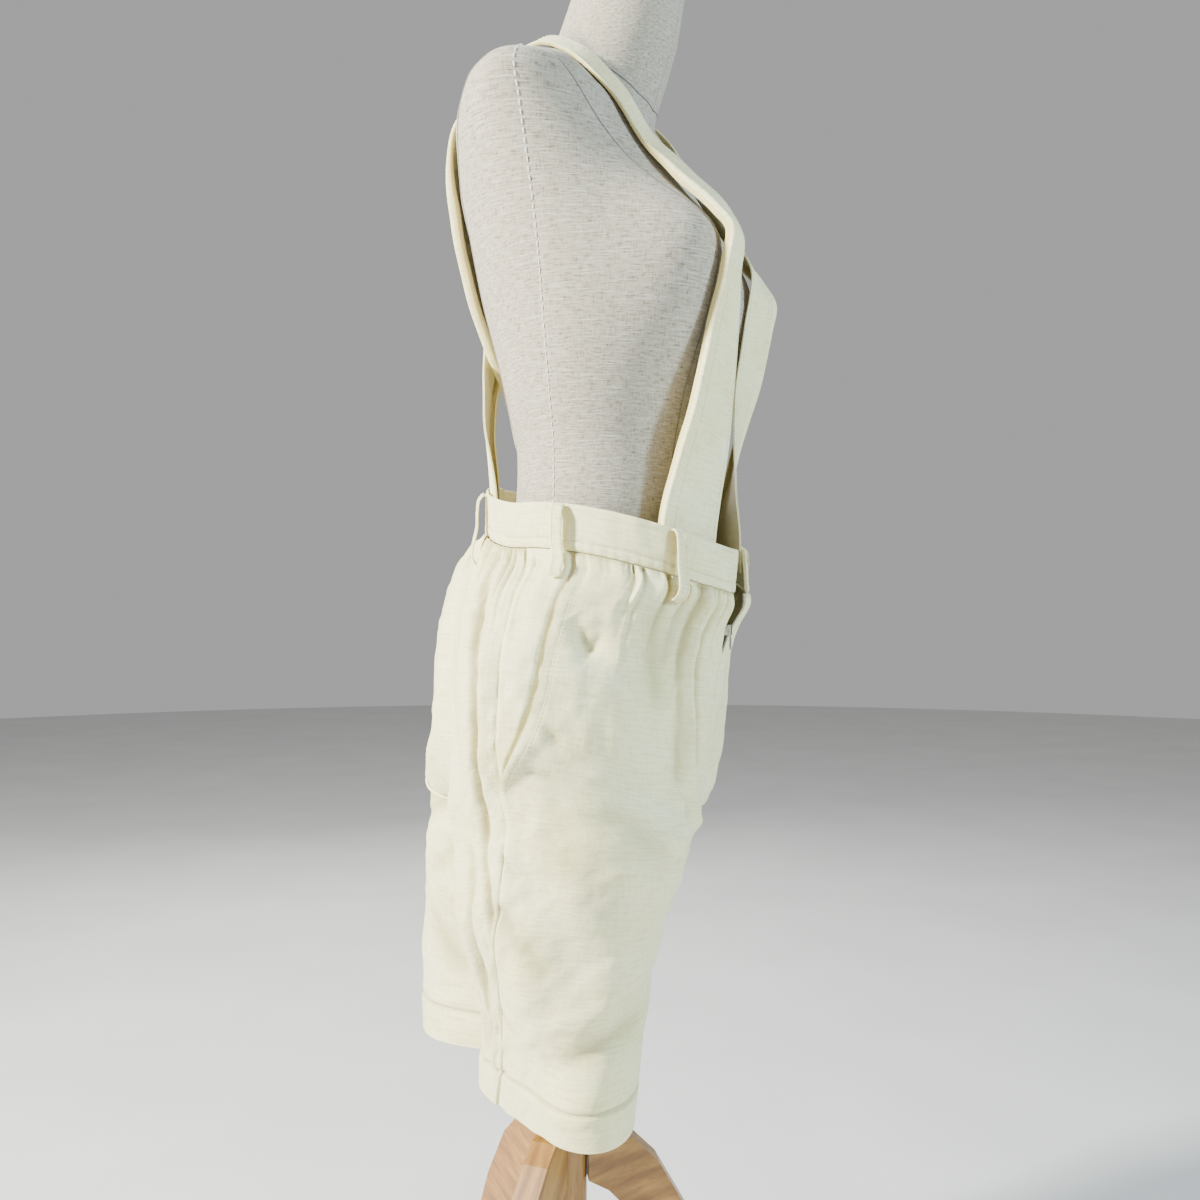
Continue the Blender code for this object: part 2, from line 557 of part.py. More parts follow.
def waistband():
    """One strip from the right front end over the back to the left front end."""
    rounds = np.concatenate([np.linspace(0.004, 1.0, 30), np.linspace(1.0, 0.004, 30)[1:]])
    outer, inner = [], []
    for share in (1.0, 0.62, 0.3, 0.0):
        ends = [band_point("right", rounds[:30], share * BAND_HIGH),
                band_point("left", rounds[30:], share * BAND_HIGH)]
        outer.append(np.concatenate(ends))
        ends = [band_point("right", rounds[:30], share * BAND_HIGH, -BAND_THICK),
                band_point("left", rounds[30:], share * BAND_HIGH, -BAND_THICK)]
        inner.append(np.concatenate(ends))
    for rows in (outer, inner):
        for row in rows:
            row[29, 0] = 0.0
    wall("waistband", outer, inner, "suiting")


def belt_loop(leg, place, rounds):
    """A strip sewn at the band's top edge and again below the band, standing off between."""
    path = table("high off", (0.037, 0.0004), (0.0375, 0.0034), (0.034, 0.0072), (0.022, 0.0096),
                 (0.008, 0.0101), (-0.005, 0.0111), (-0.014, 0.0100), (-0.021, 0.0079),
                 (-0.024, 0.0048))
    ends = rounds + LOOP_WIDE / 2 / 0.40 * np.array([-1, 0, 1])
    places = []
    for here in path:
        if here["high"] > 0:
            places.append(band_point(leg, ends, here["high"], here["off"]))
        else:
            down = np.full(3, -here["high"])
            least = gather_height(ends, down).min()
            places.append(cloth(leg, ends, down, here["off"] - 0.0008 - least)
                          - outward(leg, ends, down) * gather_height(ends, down)[:, None])
    inner = np.array(places)
    run = unit(np.gradient(inner, axis=0))
    across = unit(inner[:, -1:] - inner[:, :1])
    away = unit(np.cross(across, run)) * LEGS[leg][0]
    wall(f"belt_loop_{place}_{leg}", inner + away * LOOP_THICK, inner, "suiting")


def on_back_panel(leg, rounds, down, lift):
    """A place on the flat triangles of a back panel below its gathered rows, moved out."""
    columns = np.linspace(0.5 + SEAM_GAP, 1 - SEAM_GAP, (PANEL_COLUMNS + 1) // 2)
    i = int(np.searchsorted(LOWER_ROWS, down)) - 1
    j = int(np.searchsorted(columns, rounds)) - 1
    u = (rounds - columns[j]) / (columns[j + 1] - columns[j])
    v = (down - LOWER_ROWS[i]) / (LOWER_ROWS[i + 1] - LOWER_ROWS[i])
    a, b = cloth(leg, columns[j:j + 2], LOWER_ROWS[i])
    d, c = cloth(leg, columns[j:j + 2], LOWER_ROWS[i + 1])
    point = a + (b - a) * u + (c - b) * v if u > v else a + (c - d) * u + (d - a) * v
    return point + outward(leg, rounds, down) * lift


def back_welt():
    """A narrow strip laid slanting across the left back, rising away from the centre seam."""
    outer, inner = [], []
    for t in np.linspace(0, 1, 26):
        rounds, down = 0.970 - 0.215 * t, 0.228 - 0.050 * t
        places = [(rounds, down + across) for across in (-0.0023, 0.0, 0.0023)]
        outer.append(np.array([on_back_panel("left", *p, LAYER_GAP + 0.0018) for p in places]))
        inner.append(np.array([on_back_panel("left", *p, LAYER_GAP + 0.0002) for p in places]))
    wall("back_welt_left", outer, inner, "suiting")


def zip_tape(leg):
    """One tape of the zip, behind the fly's edge and just showing in the opening."""
    outer, inner = [], []
    side = LEGS[leg][0]
    _, behind = panel_rows(leg, lambda d: SEAM_GAP, pocket_round, mouth=True)
    for down, row in zip(TOP_ROWS + LOWER_ROWS[:2], behind):
        count = 5 if down in TOP_ROWS else 3
        normal = outward(leg, np.linspace(SEAM_GAP, 0.04, count), np.full(count, down))
        points = row[:count] - normal * LAYER_GAP
        open_here = float(np.clip(1 - down / FLY_DOWN, 0, 1)) ** 0.6
        points[0, 0] -= side * TAPE_SHOWS * open_here
        points[0, 2] -= 0.0006 * (down == 0)
        outer.append(points)
        inner.append(points - normal * TAPE_THICK)
    wall(f"zip_tape_{leg}", outer, inner, "tape")


def zip_hardware():
    """The slider at the foot of the open V, and the pull tab that hangs from it."""
    down = 0.042
    centre = (section("right", 0.0, down) + section("left", 0.0, down)) / 2
    x, y, z = centre[0], centre[1] + 0.0010, centre[2]
    half, deep, tall = 0.0041, 0.0038, 0.0045
    ear_in, ear_out, ear_deep = 0.0016, 0.0026, 0.0026
    outline = [(-half, deep), (-half, 0), (-ear_out, 0), (-ear_out, -ear_deep), (-ear_in, -ear_deep),
               (-ear_in, 0), (ear_in, 0), (ear_in, -ear_deep), (ear_out, -ear_deep), (ear_out, 0),
               (half, 0), (half, deep)]
    prism("zip_slider", outline, lambda u, v, end: (x + u, y + v, z - tall + 2 * tall * end), "metal")
    pivot_y, thick = y - 0.0014, 0.0011
    tab = [(-0.0012, 0.0008), (0.0012, 0.0008), (0.0012, -0.0052), (0.0022, -0.0075),
           (0.0022, -0.0160), (0.0015, -0.0175), (-0.0015, -0.0175), (-0.0022, -0.0160),
           (-0.0022, -0.0075), (-0.0012, -0.0052)]
    pull = prism("zip_pull", tab,
                 lambda u, v, end: (u, (end - 0.5) * thick, v), "metal")
    pull.location = (x, pivot_y, z)


def waist_closure():
    """A flat hook behind the right end of the band, and its bar on the left end."""
    root, tip = band_point("right", np.array([0.034, 0.008]), BAND_HIGH * 0.80, -BAND_THICK - 0.0006)
    along = unit(tip - root) * np.array([1, 1, 0])
    ahead = np.array([along[1], -along[0], 0])
    outline = [(-0.011, 0.0), (0.008, 0.0), (0.008, 0.0030), (0.0035, 0.0030), (0.0035, 0.0020),
               (0.0068, 0.0020), (0.0068, 0.0008), (-0.011, 0.0008)]
    prism("waist_hook", [(u, v - 0.0008) for u, v in outline],
          lambda u, v, end: tip + along * u + ahead * v + np.array([0, 0, (end - 0.5) * 0.009]), "metal")
    bar = band_point("left", 0.035, BAND_HIGH * 0.80, 0.0004)
    outline = [(-0.001, 0.0), (-0.001, -0.0022), (0.001, -0.0022), (0.001, 0.0)]
    prism("waist_bar", outline, lambda u, v, end: (bar[0] + u, bar[1] + v - 0.0003,
                                                   bar[2] + (end - 0.5) * 0.011), "metal")


# ---- the suspenders ----
def form_level(points):
    """How far points are outside the form, measured level from its axis."""
    z = np.clip(points[..., 2], FORM_BOTTOM, FORM_TOP)
    flat = points[..., :2] - np.stack([0 * z, form_axis(z)], axis=-1)
    far = np.linalg.norm(flat, axis=-1)
    return far - form_radius(flat / np.maximum(far, 1e-9)[..., None], z)


def form_reach(points):
    """How far points are outside the form, roughly in metres, and the way out."""
    d = 0.0008
    here = form_level(points)
    slope = np.stack([(form_level(points + d * np.eye(3)[k]) - form_level(points - d * np.eye(3)[k])) / (2 * d)
                      for k in range(3)], axis=-1)
    size = np.maximum(np.linalg.norm(slope, axis=-1), 1.0)
    return here / size, slope / size[..., None]


def over_form(points):
    """How far points are above the form, straight up."""
    low, high = points[..., 2] - 0.07, points[..., 2] + 0.07
    for _ in range(18):
        middle = (low + high) / 2
        outside = form_level(np.concatenate([points[..., :2], middle[..., None]], axis=-1)) > 0
        low, high = np.where(outside, low, middle), np.where(outside, middle, high)
    return points[..., 2] - high


def through(stations, count):
    """count rows on a smooth curve through the stations, closer together where it bends."""
    middle = (stations[:, :3] + stations[:, 3:]) / 2
    run = np.diff(middle, axis=0)
    along = np.concatenate([[0], np.cumsum(np.linalg.norm(run, axis=1))])
    bend = np.linalg.norm(np.diff(unit(run), axis=0), axis=1)
    weight = np.diff(along) + 0.030 * (np.append(bend, 0) + np.insert(bend, 0, 0))
    measure = np.concatenate([[0], np.cumsum(weight)])
    at = np.interp(np.linspace(0, measure[-1], count), measure, along)
    slope = np.gradient(stations, along, axis=0)
    i = np.clip(np.searchsorted(along, at) - 1, 0, len(along) - 2)
    run = (along[i + 1] - along[i])[:, None]
    t = ((at - along[i])[:, None]) / run
    return ((2 * t**3 - 3 * t**2 + 1) * stations[i] + (t**3 - 2 * t**2 + t) * run * slope[i]
            + (3 * t**2 - 2 * t**3) * stations[i + 1] + (t**3 - t**2) * run * slope[i + 1])


def strap_profile(width, roll):
    """Half of a suspender's section: (across, out) from the inner edge to the turned-in lip."""
    flat = max(width - 2 * roll - 0.001, 0.004)
    points = [(0.0, -0.0006), (flat * 0.33, 0.0), (flat * 0.67, 0.0), (flat, -0.0012)]
    for degrees in (125, 80, 35, -15, -60, -105):
        turn = math.radians(degrees)
        points.append((width - roll + roll * math.cos(turn), roll * (math.sin(turn) - 0.67)))
    return np.array(points)


def strap(leg, rows):
    side = LEGS[leg][0]
    other = "left" if leg == "right" else "right"
    stations = []
    for high in (0.016, 0.036):
        outer_end, inner_end = STRAP_FRONT_ROUND[leg]
        place = [band_point(leg, r, high, -BAND_THICK - STRAP_SINK) for r in (outer_end, inner_end)]
        stations.append(np.concatenate(place))
    stations += [np.array([row[name] for name in STRAP.split()]) for row in rows]
    for high in (0.036, 0.016):
        first, second = STRAP_BACK_ROUND[other]
        order = (second, first)
        place = [band_point(other, r, high, -BAND_THICK - STRAP_SINK) for r in order]
        stations.append(np.concatenate(place))
    lines = through(np.array(stations), STRAP_ROWS)
    middle = (lines[:, :3] + lines[:, 3:]) / 2
    tangent = unit(np.gradient(middle, axis=0))
    across = unit(lines[:, :3] - lines[:, 3:])
    out = unit(np.cross(across, tangent)) * side
    outer, inner = [], []
    for k in range(STRAP_ROWS):
        roll = STRAP_ROLL * (1 - 0.38 * step((middle[k, 2] - 1.27) / 0.05))
        profile = strap_profile(np.linalg.norm(lines[k, :3] - lines[k, 3:]), roll)
        run = np.gradient(profile, axis=0)
        run /= np.linalg.norm(run, axis=1, keepdims=True)
        thin = profile + np.stack([run[:, 1], -run[:, 0]], axis=1) * STRAP_THICK
        for rows_made, shape in ((outer, profile), (inner, thin)):
            rows_made.append(lines[k, 3:] + across[k] * shape[:, :1] + out[k] * shape[:, 1:])
    above = [over_form(row).min() for row in inner]
    above += [over_form((inner[k] + inner[k + 1]) / 2).min() for k in range(STRAP_ROWS - 1)]
    for k in range(STRAP_ROWS):        # the rows on the shoulder are laid down on it
        near = [above[k], *above[STRAP_ROWS + max(k - 1, 0):STRAP_ROWS + k + 1]]
        drop = step((middle[k, 2] - 1.27) / 0.04) * (min(near) - 2.8 * STRAP_LIFT)
        outer[k][:, 2] -= drop
        inner[k][:, 2] -= drop
    halfway = [(inner[k] + inner[min(k + 1, STRAP_ROWS - 1)]) / 2 for k in range(STRAP_ROWS)]
    deepest = np.array([min(form_reach(row)[0].min(), form_reach(mid)[0].min())
                        for row, mid in zip(inner, halfway)])
    for k in range(STRAP_ROWS):
        need = max(0.0, STRAP_LIFT - deepest[max(k - 1, 0):k + 2].min())
        if need > 0:
            way = unit(form_reach(middle[k:k + 1])[1])[0]
            outer[k] = outer[k] + way * need * 1.15
            inner[k] = inner[k] + way * need * 1.15
    wall(f"strap_{leg}", outer, inner, "suiting")


# ---- the form ----
def form_axis(z):
    """Where the line that the form is drawn round is, from front to back."""
    (low, at_low), (high, at_high) = FORM_AXIS
    return at_low + (at_high - at_low) * step((z - low) / (high - low))


def ellipse_radius(way, axis, half, front, back):
    """How far an ellipse between front and back reaches from the form's axis in a direction."""
    centre, deep = (front + back) / 2 - axis, (back - front) / 2
    a = (way[..., 0] / half) ** 2 + (way[..., 1] / deep) ** 2
    b = -2 * way[..., 1] * centre / deep**2
    c = (centre / deep) ** 2 - 1
    return (-b + np.sqrt(np.maximum(b * b - 4 * a * c, 0))) / (2 * a)


def form_radius(way, z):
    """How far the form reaches from its axis in a direction at a height."""
    body = ellipse_radius(way, form_axis(z), *read(FORM, "z", "half front back", z))
    neck = ellipse_radius(way, form_axis(z), *read(NECK, "z", "half front back", z))
    neck = np.where(z > NECK[0]["z"], neck, 0.0)
    soft = 0.006
    top = np.maximum(body, neck)
    radius = top + soft * np.log(np.exp((body - top) / soft) + np.exp((neck - top) / soft))
    x = radius * way[..., 0]
    lobe = np.exp(-(((np.abs(x) - BUST["x"]) / BUST["wide"]) ** 2) - ((z - BUST["z"]) / BUST["high"]) ** 2)
    return radius + BUST["proud"] * lobe * np.clip(-way[..., 1], 0, 1) ** 0.5


def form_torso():
    turn = np.linspace(0, 2 * np.pi, FORM_COLUMNS, endpoint=False)
    way = unit(np.stack([1.35 * np.sin(turn), -np.cos(turn)], axis=-1))
    rings = []
    for z in FORM_LEVELS:
        level = np.full(FORM_COLUMNS, z)
        radius = form_radius(way, level)
        rings.append(np.column_stack([way[:, 0] * radius, form_axis(level) + way[:, 1] * radius, level]))
    tube("form_torso", rings, "linen")


def form_post():
    """A plain round post, up to the underside of the form."""
    turn = np.linspace(0, 2 * np.pi, 24, endpoint=False)
    rings = []
    for z in (POST_BOTTOM, FORM_BOTTOM - 0.0003):
        rings.append(np.column_stack([POST_RADIUS * np.cos(turn), POST_RADIUS * np.sin(turn),
                                      np.full(24, z)]))
    tube("form_post", rings, "oak")


def form_leg(name, degrees):
    """A shaped board that arches out of the post and sweeps down to a flat foot."""
    root = POST_RADIUS + 0.0003
    over = table("out z", (root, 0.424), (0.045, 0.417), (0.063, 0.404), (0.087, 0.381),
                 (0.117, 0.329), (0.143, 0.266), (0.166, 0.203), (0.190, 0.138), (0.216, 0.080),
                 (0.246, 0.038), (0.268, 0.022), (0.274, 0.010))
    under = table("out z", (0.274, 0.000), (0.236, 0.000), (0.216, 0.011), (0.187, 0.052),
                  (0.160, 0.108), (0.136, 0.168), (0.112, 0.228), (0.088, 0.284), (0.060, 0.336),
                  (0.040, 0.357), (root, 0.367))
    outline = [(p["out"], p["z"]) for p in over + under]
    turn = math.radians(degrees)
    way = (math.cos(turn), math.sin(turn))

    def place(out, z, end):
        aside = (end - 0.5) * LEG_THICK
        near = max(out, math.sqrt(max(root**2 - aside**2, 0)) + 0.0002)
        return (near * way[0] - aside * way[1], near * way[1] + aside * way[0], z)

    made = prism(f"form_leg_{name}", outline, place, "oak")
    return made


# ---- the whole ----
def clear_scene():
    for thing in list(bpy.data.objects):
        bpy.data.objects.remove(thing)


def main():
    clear_scene()
    axis = bpy.data.objects.new("stand_axis", None)
    axis.location = (*POST_AT, 0.0)
    bpy.context.scene.collection.objects.link(axis)
    shorts_panels()
    for leg in LEGS:
        pocket_side(leg)
        zip_tape(leg)
    waistband()
    for loop in LOOPS:
        belt_loop(loop["leg"], loop["place"], loop["round"])
    back_welt()
    zip_hardware()
    waist_closure()
    strap("right", RIGHT_STRAP)
    strap("left", LEFT_STRAP)
    form_torso()
    form_post()
    for name, degrees in LEG_ANGLES.items():
        form_leg(name, degrees)
    bpy.context.view_layer.update()


main()
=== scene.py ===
"""The looks of the suspender shorts on their dress form.

The shapes follow the solids of the frame: every cloth piece is a thin wall on its solid's
form, with the finer gathers, creases and sewing that the solid leaves out. Metres, +Z up, the
form faces -Y. Places are measured from the axis of the stand's post, as they are in the tables.
"""

import math

import bpy
import bmesh
import numpy as np
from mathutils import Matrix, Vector


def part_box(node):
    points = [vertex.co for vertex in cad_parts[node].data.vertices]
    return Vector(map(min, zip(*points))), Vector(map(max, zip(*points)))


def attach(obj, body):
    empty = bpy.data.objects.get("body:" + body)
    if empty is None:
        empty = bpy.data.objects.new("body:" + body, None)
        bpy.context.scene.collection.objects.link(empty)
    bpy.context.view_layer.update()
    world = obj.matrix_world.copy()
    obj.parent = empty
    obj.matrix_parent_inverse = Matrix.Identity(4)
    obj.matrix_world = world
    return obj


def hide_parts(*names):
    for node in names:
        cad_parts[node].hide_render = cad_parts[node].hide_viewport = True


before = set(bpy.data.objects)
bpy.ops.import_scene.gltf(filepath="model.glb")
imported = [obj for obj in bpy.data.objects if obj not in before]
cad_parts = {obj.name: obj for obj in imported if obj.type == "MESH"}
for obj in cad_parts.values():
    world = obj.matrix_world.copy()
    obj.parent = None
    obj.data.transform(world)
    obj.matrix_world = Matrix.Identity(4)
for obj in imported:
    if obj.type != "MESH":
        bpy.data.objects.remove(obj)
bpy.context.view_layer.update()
BODY = "garment_and_form"
POST_AT = np.array(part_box("form_post")).sum(axis=0) / 2 * [1, 1, 0]

# ---- sizes, as on the solids ----
CLOTH = 0.0016                 # one layer of the suiting
HEM_EXTRA = 0.0010             # the turned-up hem adds this to the wall
HEM_DEEP = 0.035
SEAM_GAP = 0.0004
LAYER_GAP = 0.0005
STRAP_SINK = 0.0022            # how far a suspender's ends lie inside the band
BAND_HIGH = 0.038
BAND_THICK = 0.0024
CROTCH_DOWN = 0.238
HEM_DOWN = 0.502
HEM_LINE = HEM_DOWN - HEM_DEEP   # the hem is stitched here
HEM_GROOVE = 0.0024            # half the width of the groove that the stitches draw
FLY_DOWN = 0.064
STRAP_ROLL = 0.0045
STRAP_LIFT = 0.0009
LOOP_WIDE = 0.011
LOOP_THICK = 0.0016
TAPE_SHOWS = 0.002
TAPE_THICK = 0.0008
TEETH_APART = 0.0019
GATHERS = 26
CREASE_GAIN = 1.7              # the creases are this much deeper than their table says
HALF_BAND = 0.40               # the length of half of the band
SIDE_ROUND = 0.4996            # the side seam, as a share of the way round a leg
FORM_BOTTOM = 0.770
FORM_TOP = 1.510
FORM_AXIS = ((1.36, -0.035), (1.51, -0.075))
NECK_SOFT = 0.006              # how softly the neck runs into the shoulders


def numbers(text, columns=2):
    """Rows of numbers from a text; what follows a # is a comment."""
    words = " ".join(line.split("#")[0] for line in text.splitlines()).split()
    return np.array([float(word) for word in words]).reshape(-1, columns)


def table(columns, text):
    """Rows of numbers as dictionaries with named columns."""
    names = columns.split()
    return [dict(zip(names, row)) for row in numbers(text, len(names)).tolist()]


SECTION = "down side_z front_z back_z x y out inn front back lean full flat front_at side_at back_at"
RIGHT = table(SECTION, """
0 .948 .911 .973 0 -.05 .126 .088 .118 .116 0 0 .4 0 109 180
.014 .934 .9 .957 0 -.042 .137 .088 .126 .11 0 0 .4 0 102 180
.04 .908 .88 .925 0 -.024 .153 .088 .134 .091 0 0 .4 0 96 180
.105 .845 .82 .86 0 -.013 .168 .088 .133 .084 0 0 .4 0 93 180
.16 .79 .752 .775 -.008 -.012 .158 .088 .126 .087 0 0 .4 -8 94 186
.2 .752 .712 .712 -.034 -.02 .127 .088 .116 .097 0 0 .4 -42 98 222
.238 .714 .69 .69 -.059 -.034 .097 .101 .101 .106 0 0 .4 -104 104 256
.29 .662 .645 .645 -.056 -.025 .099 .096 .095 .098 -6 .02 .16 -103 110 257
.37 .582 .575 .575 -.041 -.012 .104 .1 .086 .086 -12 .08 .08 -88 127 272
.44 .512 .508 .508 -.031 -.003 .107 .103 .078 .08 -17 .14 .057 -70 147 290
.502 .45 .452 .456 -.026 .002 .109 .103 .071 .078 -20 .2 .048 -55 169 305
""")
LEFT = table(SECTION, """
0 .948 .911 .973 0 -.05 .126 .048 .118 .116 0 0 .4 0 104 180
.014 .934 .9 .957 0 -.042 .137 .048 .126 .16 0 0 .4 0 103 180
.04 .908 .88 .925 0 -.024 .153 .048 .134 .168 0 0 .4 0 102 180
.105 .845 .82 .86 0 -.011 .17 .048 .133 .175 0 0 .4 0 101 180
.16 .79 .752 .775 .014 -.002 .157 .048 .131 .174 0 0 .4 -8 100 190
.2 .752 .712 .712 .06 .018 .108 .048 .13 .16 0 0 .4 -38 100 232
.238 .714 .69 .69 .1 .045 .071 .069 .129 .145 0 0 .4 -70 100 290
.29 .662 .645 .645 .098 .058 .069 .064 .119 .133 4 0 .4 -70 100 290
.37 .582 .575 .575 .114 .074 .067 .065 .116 .122 9 0 .4 -68 102 292
.44 .512 .508 .508 .126 .085 .066 .064 .112 .115 14 0 .4 -66 104 294
.505 .445 .445 .445 .133 .093 .066 .064 .11 .113 19 0 .4 -64 106 296
""")
FLAT_AT = 145                  # which way the flat side faces, 90 being out and 180 back
FORK = 2.2                     # how closely the added width at the crotch keeps to the seams
LEGS = {"right": (-1, RIGHT), "left": (1, LEFT)}

# The largest folds, as ridges (depth above 0) or troughs that run from one place to another.
# round is the share of the way round a leg, from the front end over the side to the back end.
FOLD = "round_0 down_0 round_1 down_1 wide depth"
FOLDS = {
    "right": table(FOLD, """
.5 .005 .5 .2 .016 -.006  # the side seam lies in a valley
.6 .01 .62 .235 .03 .007  # the lit swell behind it
.71 .02 .7 .3 .01 .005  # the long back crease
.7 .3 .6 .47 .014 .005
.8 .02 .8 .19 .016 -.006
.88 .015 .84 .33 .018 .007  # the fold that hides the other leg
.37 .052 .322 .084 .01 -.005  # the dimple in front of the pocket
.304 .034 .32 .08 .01 -.004
.46 .265 .3 .345 .022 -.006  # drag lines where the leg twists
.36 .44 .14 .36 .022 -.006
.27 .3 .27 .502 .022 .0045  # the front crease at the near corner
.1 .12 .12 .3 .016 .006  # the fold along the front
.17 .03 .18 .15 .016 -.0045
.8 .3 .86 .49 .03 -.006
"""),
    "left": table(FOLD, """
.5 .005 .5 .2 .016 -.005
.6 .01 .62 .235 .03 .005
.74 .02 .76 .3 .014 .006
.87 .01 .87 .15 .05 .016  # the seat hangs back over the left leg
.86 .02 .88 .18 .014 -.005
.38 .08 .34 .105 .013 -.005
.25 .24 .25 .505 .018 .009  # creases of the leg that hangs empty
.76 .3 .76 .505 .018 .009
.42 .3 .33 .42 .022 -.006
.62 .33 .7 .44 .022 -.005
.12 .1 .13 .23 .015 .005
.18 .03 .19 .15 .015 -.004
.92 .33 .9 .48 .024 -.006
"""),
}

# The slant pocket's edge: down the side, and how far round it is there.
POCKET_EDGE = table("down round", """
0 .392   .025 .396   .105 .412   .15 .436   .185 .472   .206 .4996
""")
POCKET_BOTTOM = 0.208
POCKET_UNDERLAP = 0.040
POCKET_GAPE = 0.0090           # the mouth stands open this far near its lower end
POCKET_STITCHED = 0.0075       # from its edge to the stitches

# The form, a row for each level: half its width, and its front and back.
FORM = table("z half front back", """
.77 .134 -.104 .066
.8 .139 -.109 .07
.84 .141 -.114 .071
.88 .136 -.119 .064
.92 .126 -.124 .052
.96 .119 -.13 .041
.99 .117 -.133 .035
1.03 .118 -.134 .033
1.07 .126 -.138 .04
1.12 .136 -.142 .051
1.17 .145 -.143 .064
1.22 .155 -.136 .073
1.26 .164 -.122 .079
1.3 .174 -.104 .077
1.328 .18 -.088 .062
1.341 .173 -.076 .045
1.353 .148 -.068 .031
1.366 .114 -.062 .02
1.381 .083 -.057 .012
1.397 .06 -.052 .006
1.415 .04 -.048 0
1.51 .01 -.04 -.03
""")
NECK = table("z half front back", """
1.29 .046 -.066 .02
1.335 .052 -.08 .014
1.36 .054 -.089 .008
1.385 .054 -.098 .003
1.415 .053 -.107 -.003
1.455 .051 -.114 -.015
1.51 .051 -.125 -.029
""")
BUST = {"x": 0.080, "z": 1.180, "wide": 0.050, "high": 0.082, "proud": 0.041}
# The scene pads the right side out to the suspender that lies on it.
PAD = {"x": 0.078, "z": 1.210, "wide": 0.042, "high": 0.030, "proud": 0.015}

# The suspenders, a row for each station from the front of the band over the shoulder to the
# back of the band. The outer edge comes first, then the inner one. The first and last two
# stations are worked out from the band.
STRAP = "outer_x outer_y outer_z inner_x inner_y inner_z"
RIGHT_STRAP = table(STRAP, """
-.09 -.137 1.026 -.032 -.161 1.01
-.087 -.154 1.082 -.038 -.17 1.074
-.087 -.166 1.138 -.048 -.177 1.13
-.088 -.177 1.18 -.056 -.181 1.176
-.088 -.181 1.21 -.058 -.184 1.208
-.09 -.169 1.224 -.06 -.173 1.23
-.093 -.139 1.254 -.063 -.142 1.266
-.097 -.106 1.289 -.066 -.106 1.306
-.102 -.072 1.319 -.07 -.072 1.338
-.107 -.044 1.342 -.075 -.042 1.362
-.11 -.016 1.354 -.078 -.012 1.374
-.109 .018 1.349 -.076 .018 1.365
-.104 .045 1.331 -.068 .042 1.343
-.098 .063 1.309 -.06 .062 1.318
-.092 .073 1.284 -.051 .075 1.289
-.081 .073 1.241 -.038 .076 1.25
-.062 .071 1.188 -.02 .071 1.204
-.034 .064 1.136 .008 .062 1.156
-.002 .06 1.092 .036 .057 1.11
.028 .062 1.05 .062 .056 1.06
""")
LEFT_STRAP = table(STRAP, """
.092 -.137 1.026 .027 -.158 1.01
.092 -.153 1.075 .03 -.156 1.07
.092 -.168 1.118 .038 -.157 1.118
.091 -.177 1.16 .044 -.162 1.158
.09 -.181 1.186 .05 -.165 1.186
.092 -.168 1.206 .058 -.164 1.212
.095 -.141 1.24 .063 -.142 1.254
.098 -.11 1.284 .067 -.109 1.303
.103 -.072 1.317 .071 -.072 1.338
.108 -.044 1.342 .076 -.042 1.362
.111 -.016 1.354 .079 -.012 1.374
.11 .018 1.349 .077 .018 1.365
.104 .046 1.331 .068 .043 1.343
.098 .066 1.307 .06 .065 1.317
.091 .08 1.28 .052 .082 1.288
.078 .084 1.238 .038 .089 1.25
.056 .084 1.188 .016 .086 1.202
.024 .078 1.136 -.014 .078 1.152
-.008 .073 1.09 -.044 .064 1.104
-.034 .064 1.05 -.068 .052 1.056
""")
# Where the belt loops and suspenders meet the band, as shares of the way round a half.
LOOPS = (("right", "front", 0.205), ("right", "side", 0.424), ("right", "back", 0.757),
         ("left", "front", 0.225), ("left", "side", 0.466), ("left", "back", 0.794))
STRAP_FRONT_ROUND = {"right": (0.228, 0.094), "left": (0.250, 0.075)}
STRAP_BACK_ROUND = {"right": (0.700, 0.815), "left": (0.740, 0.850)}

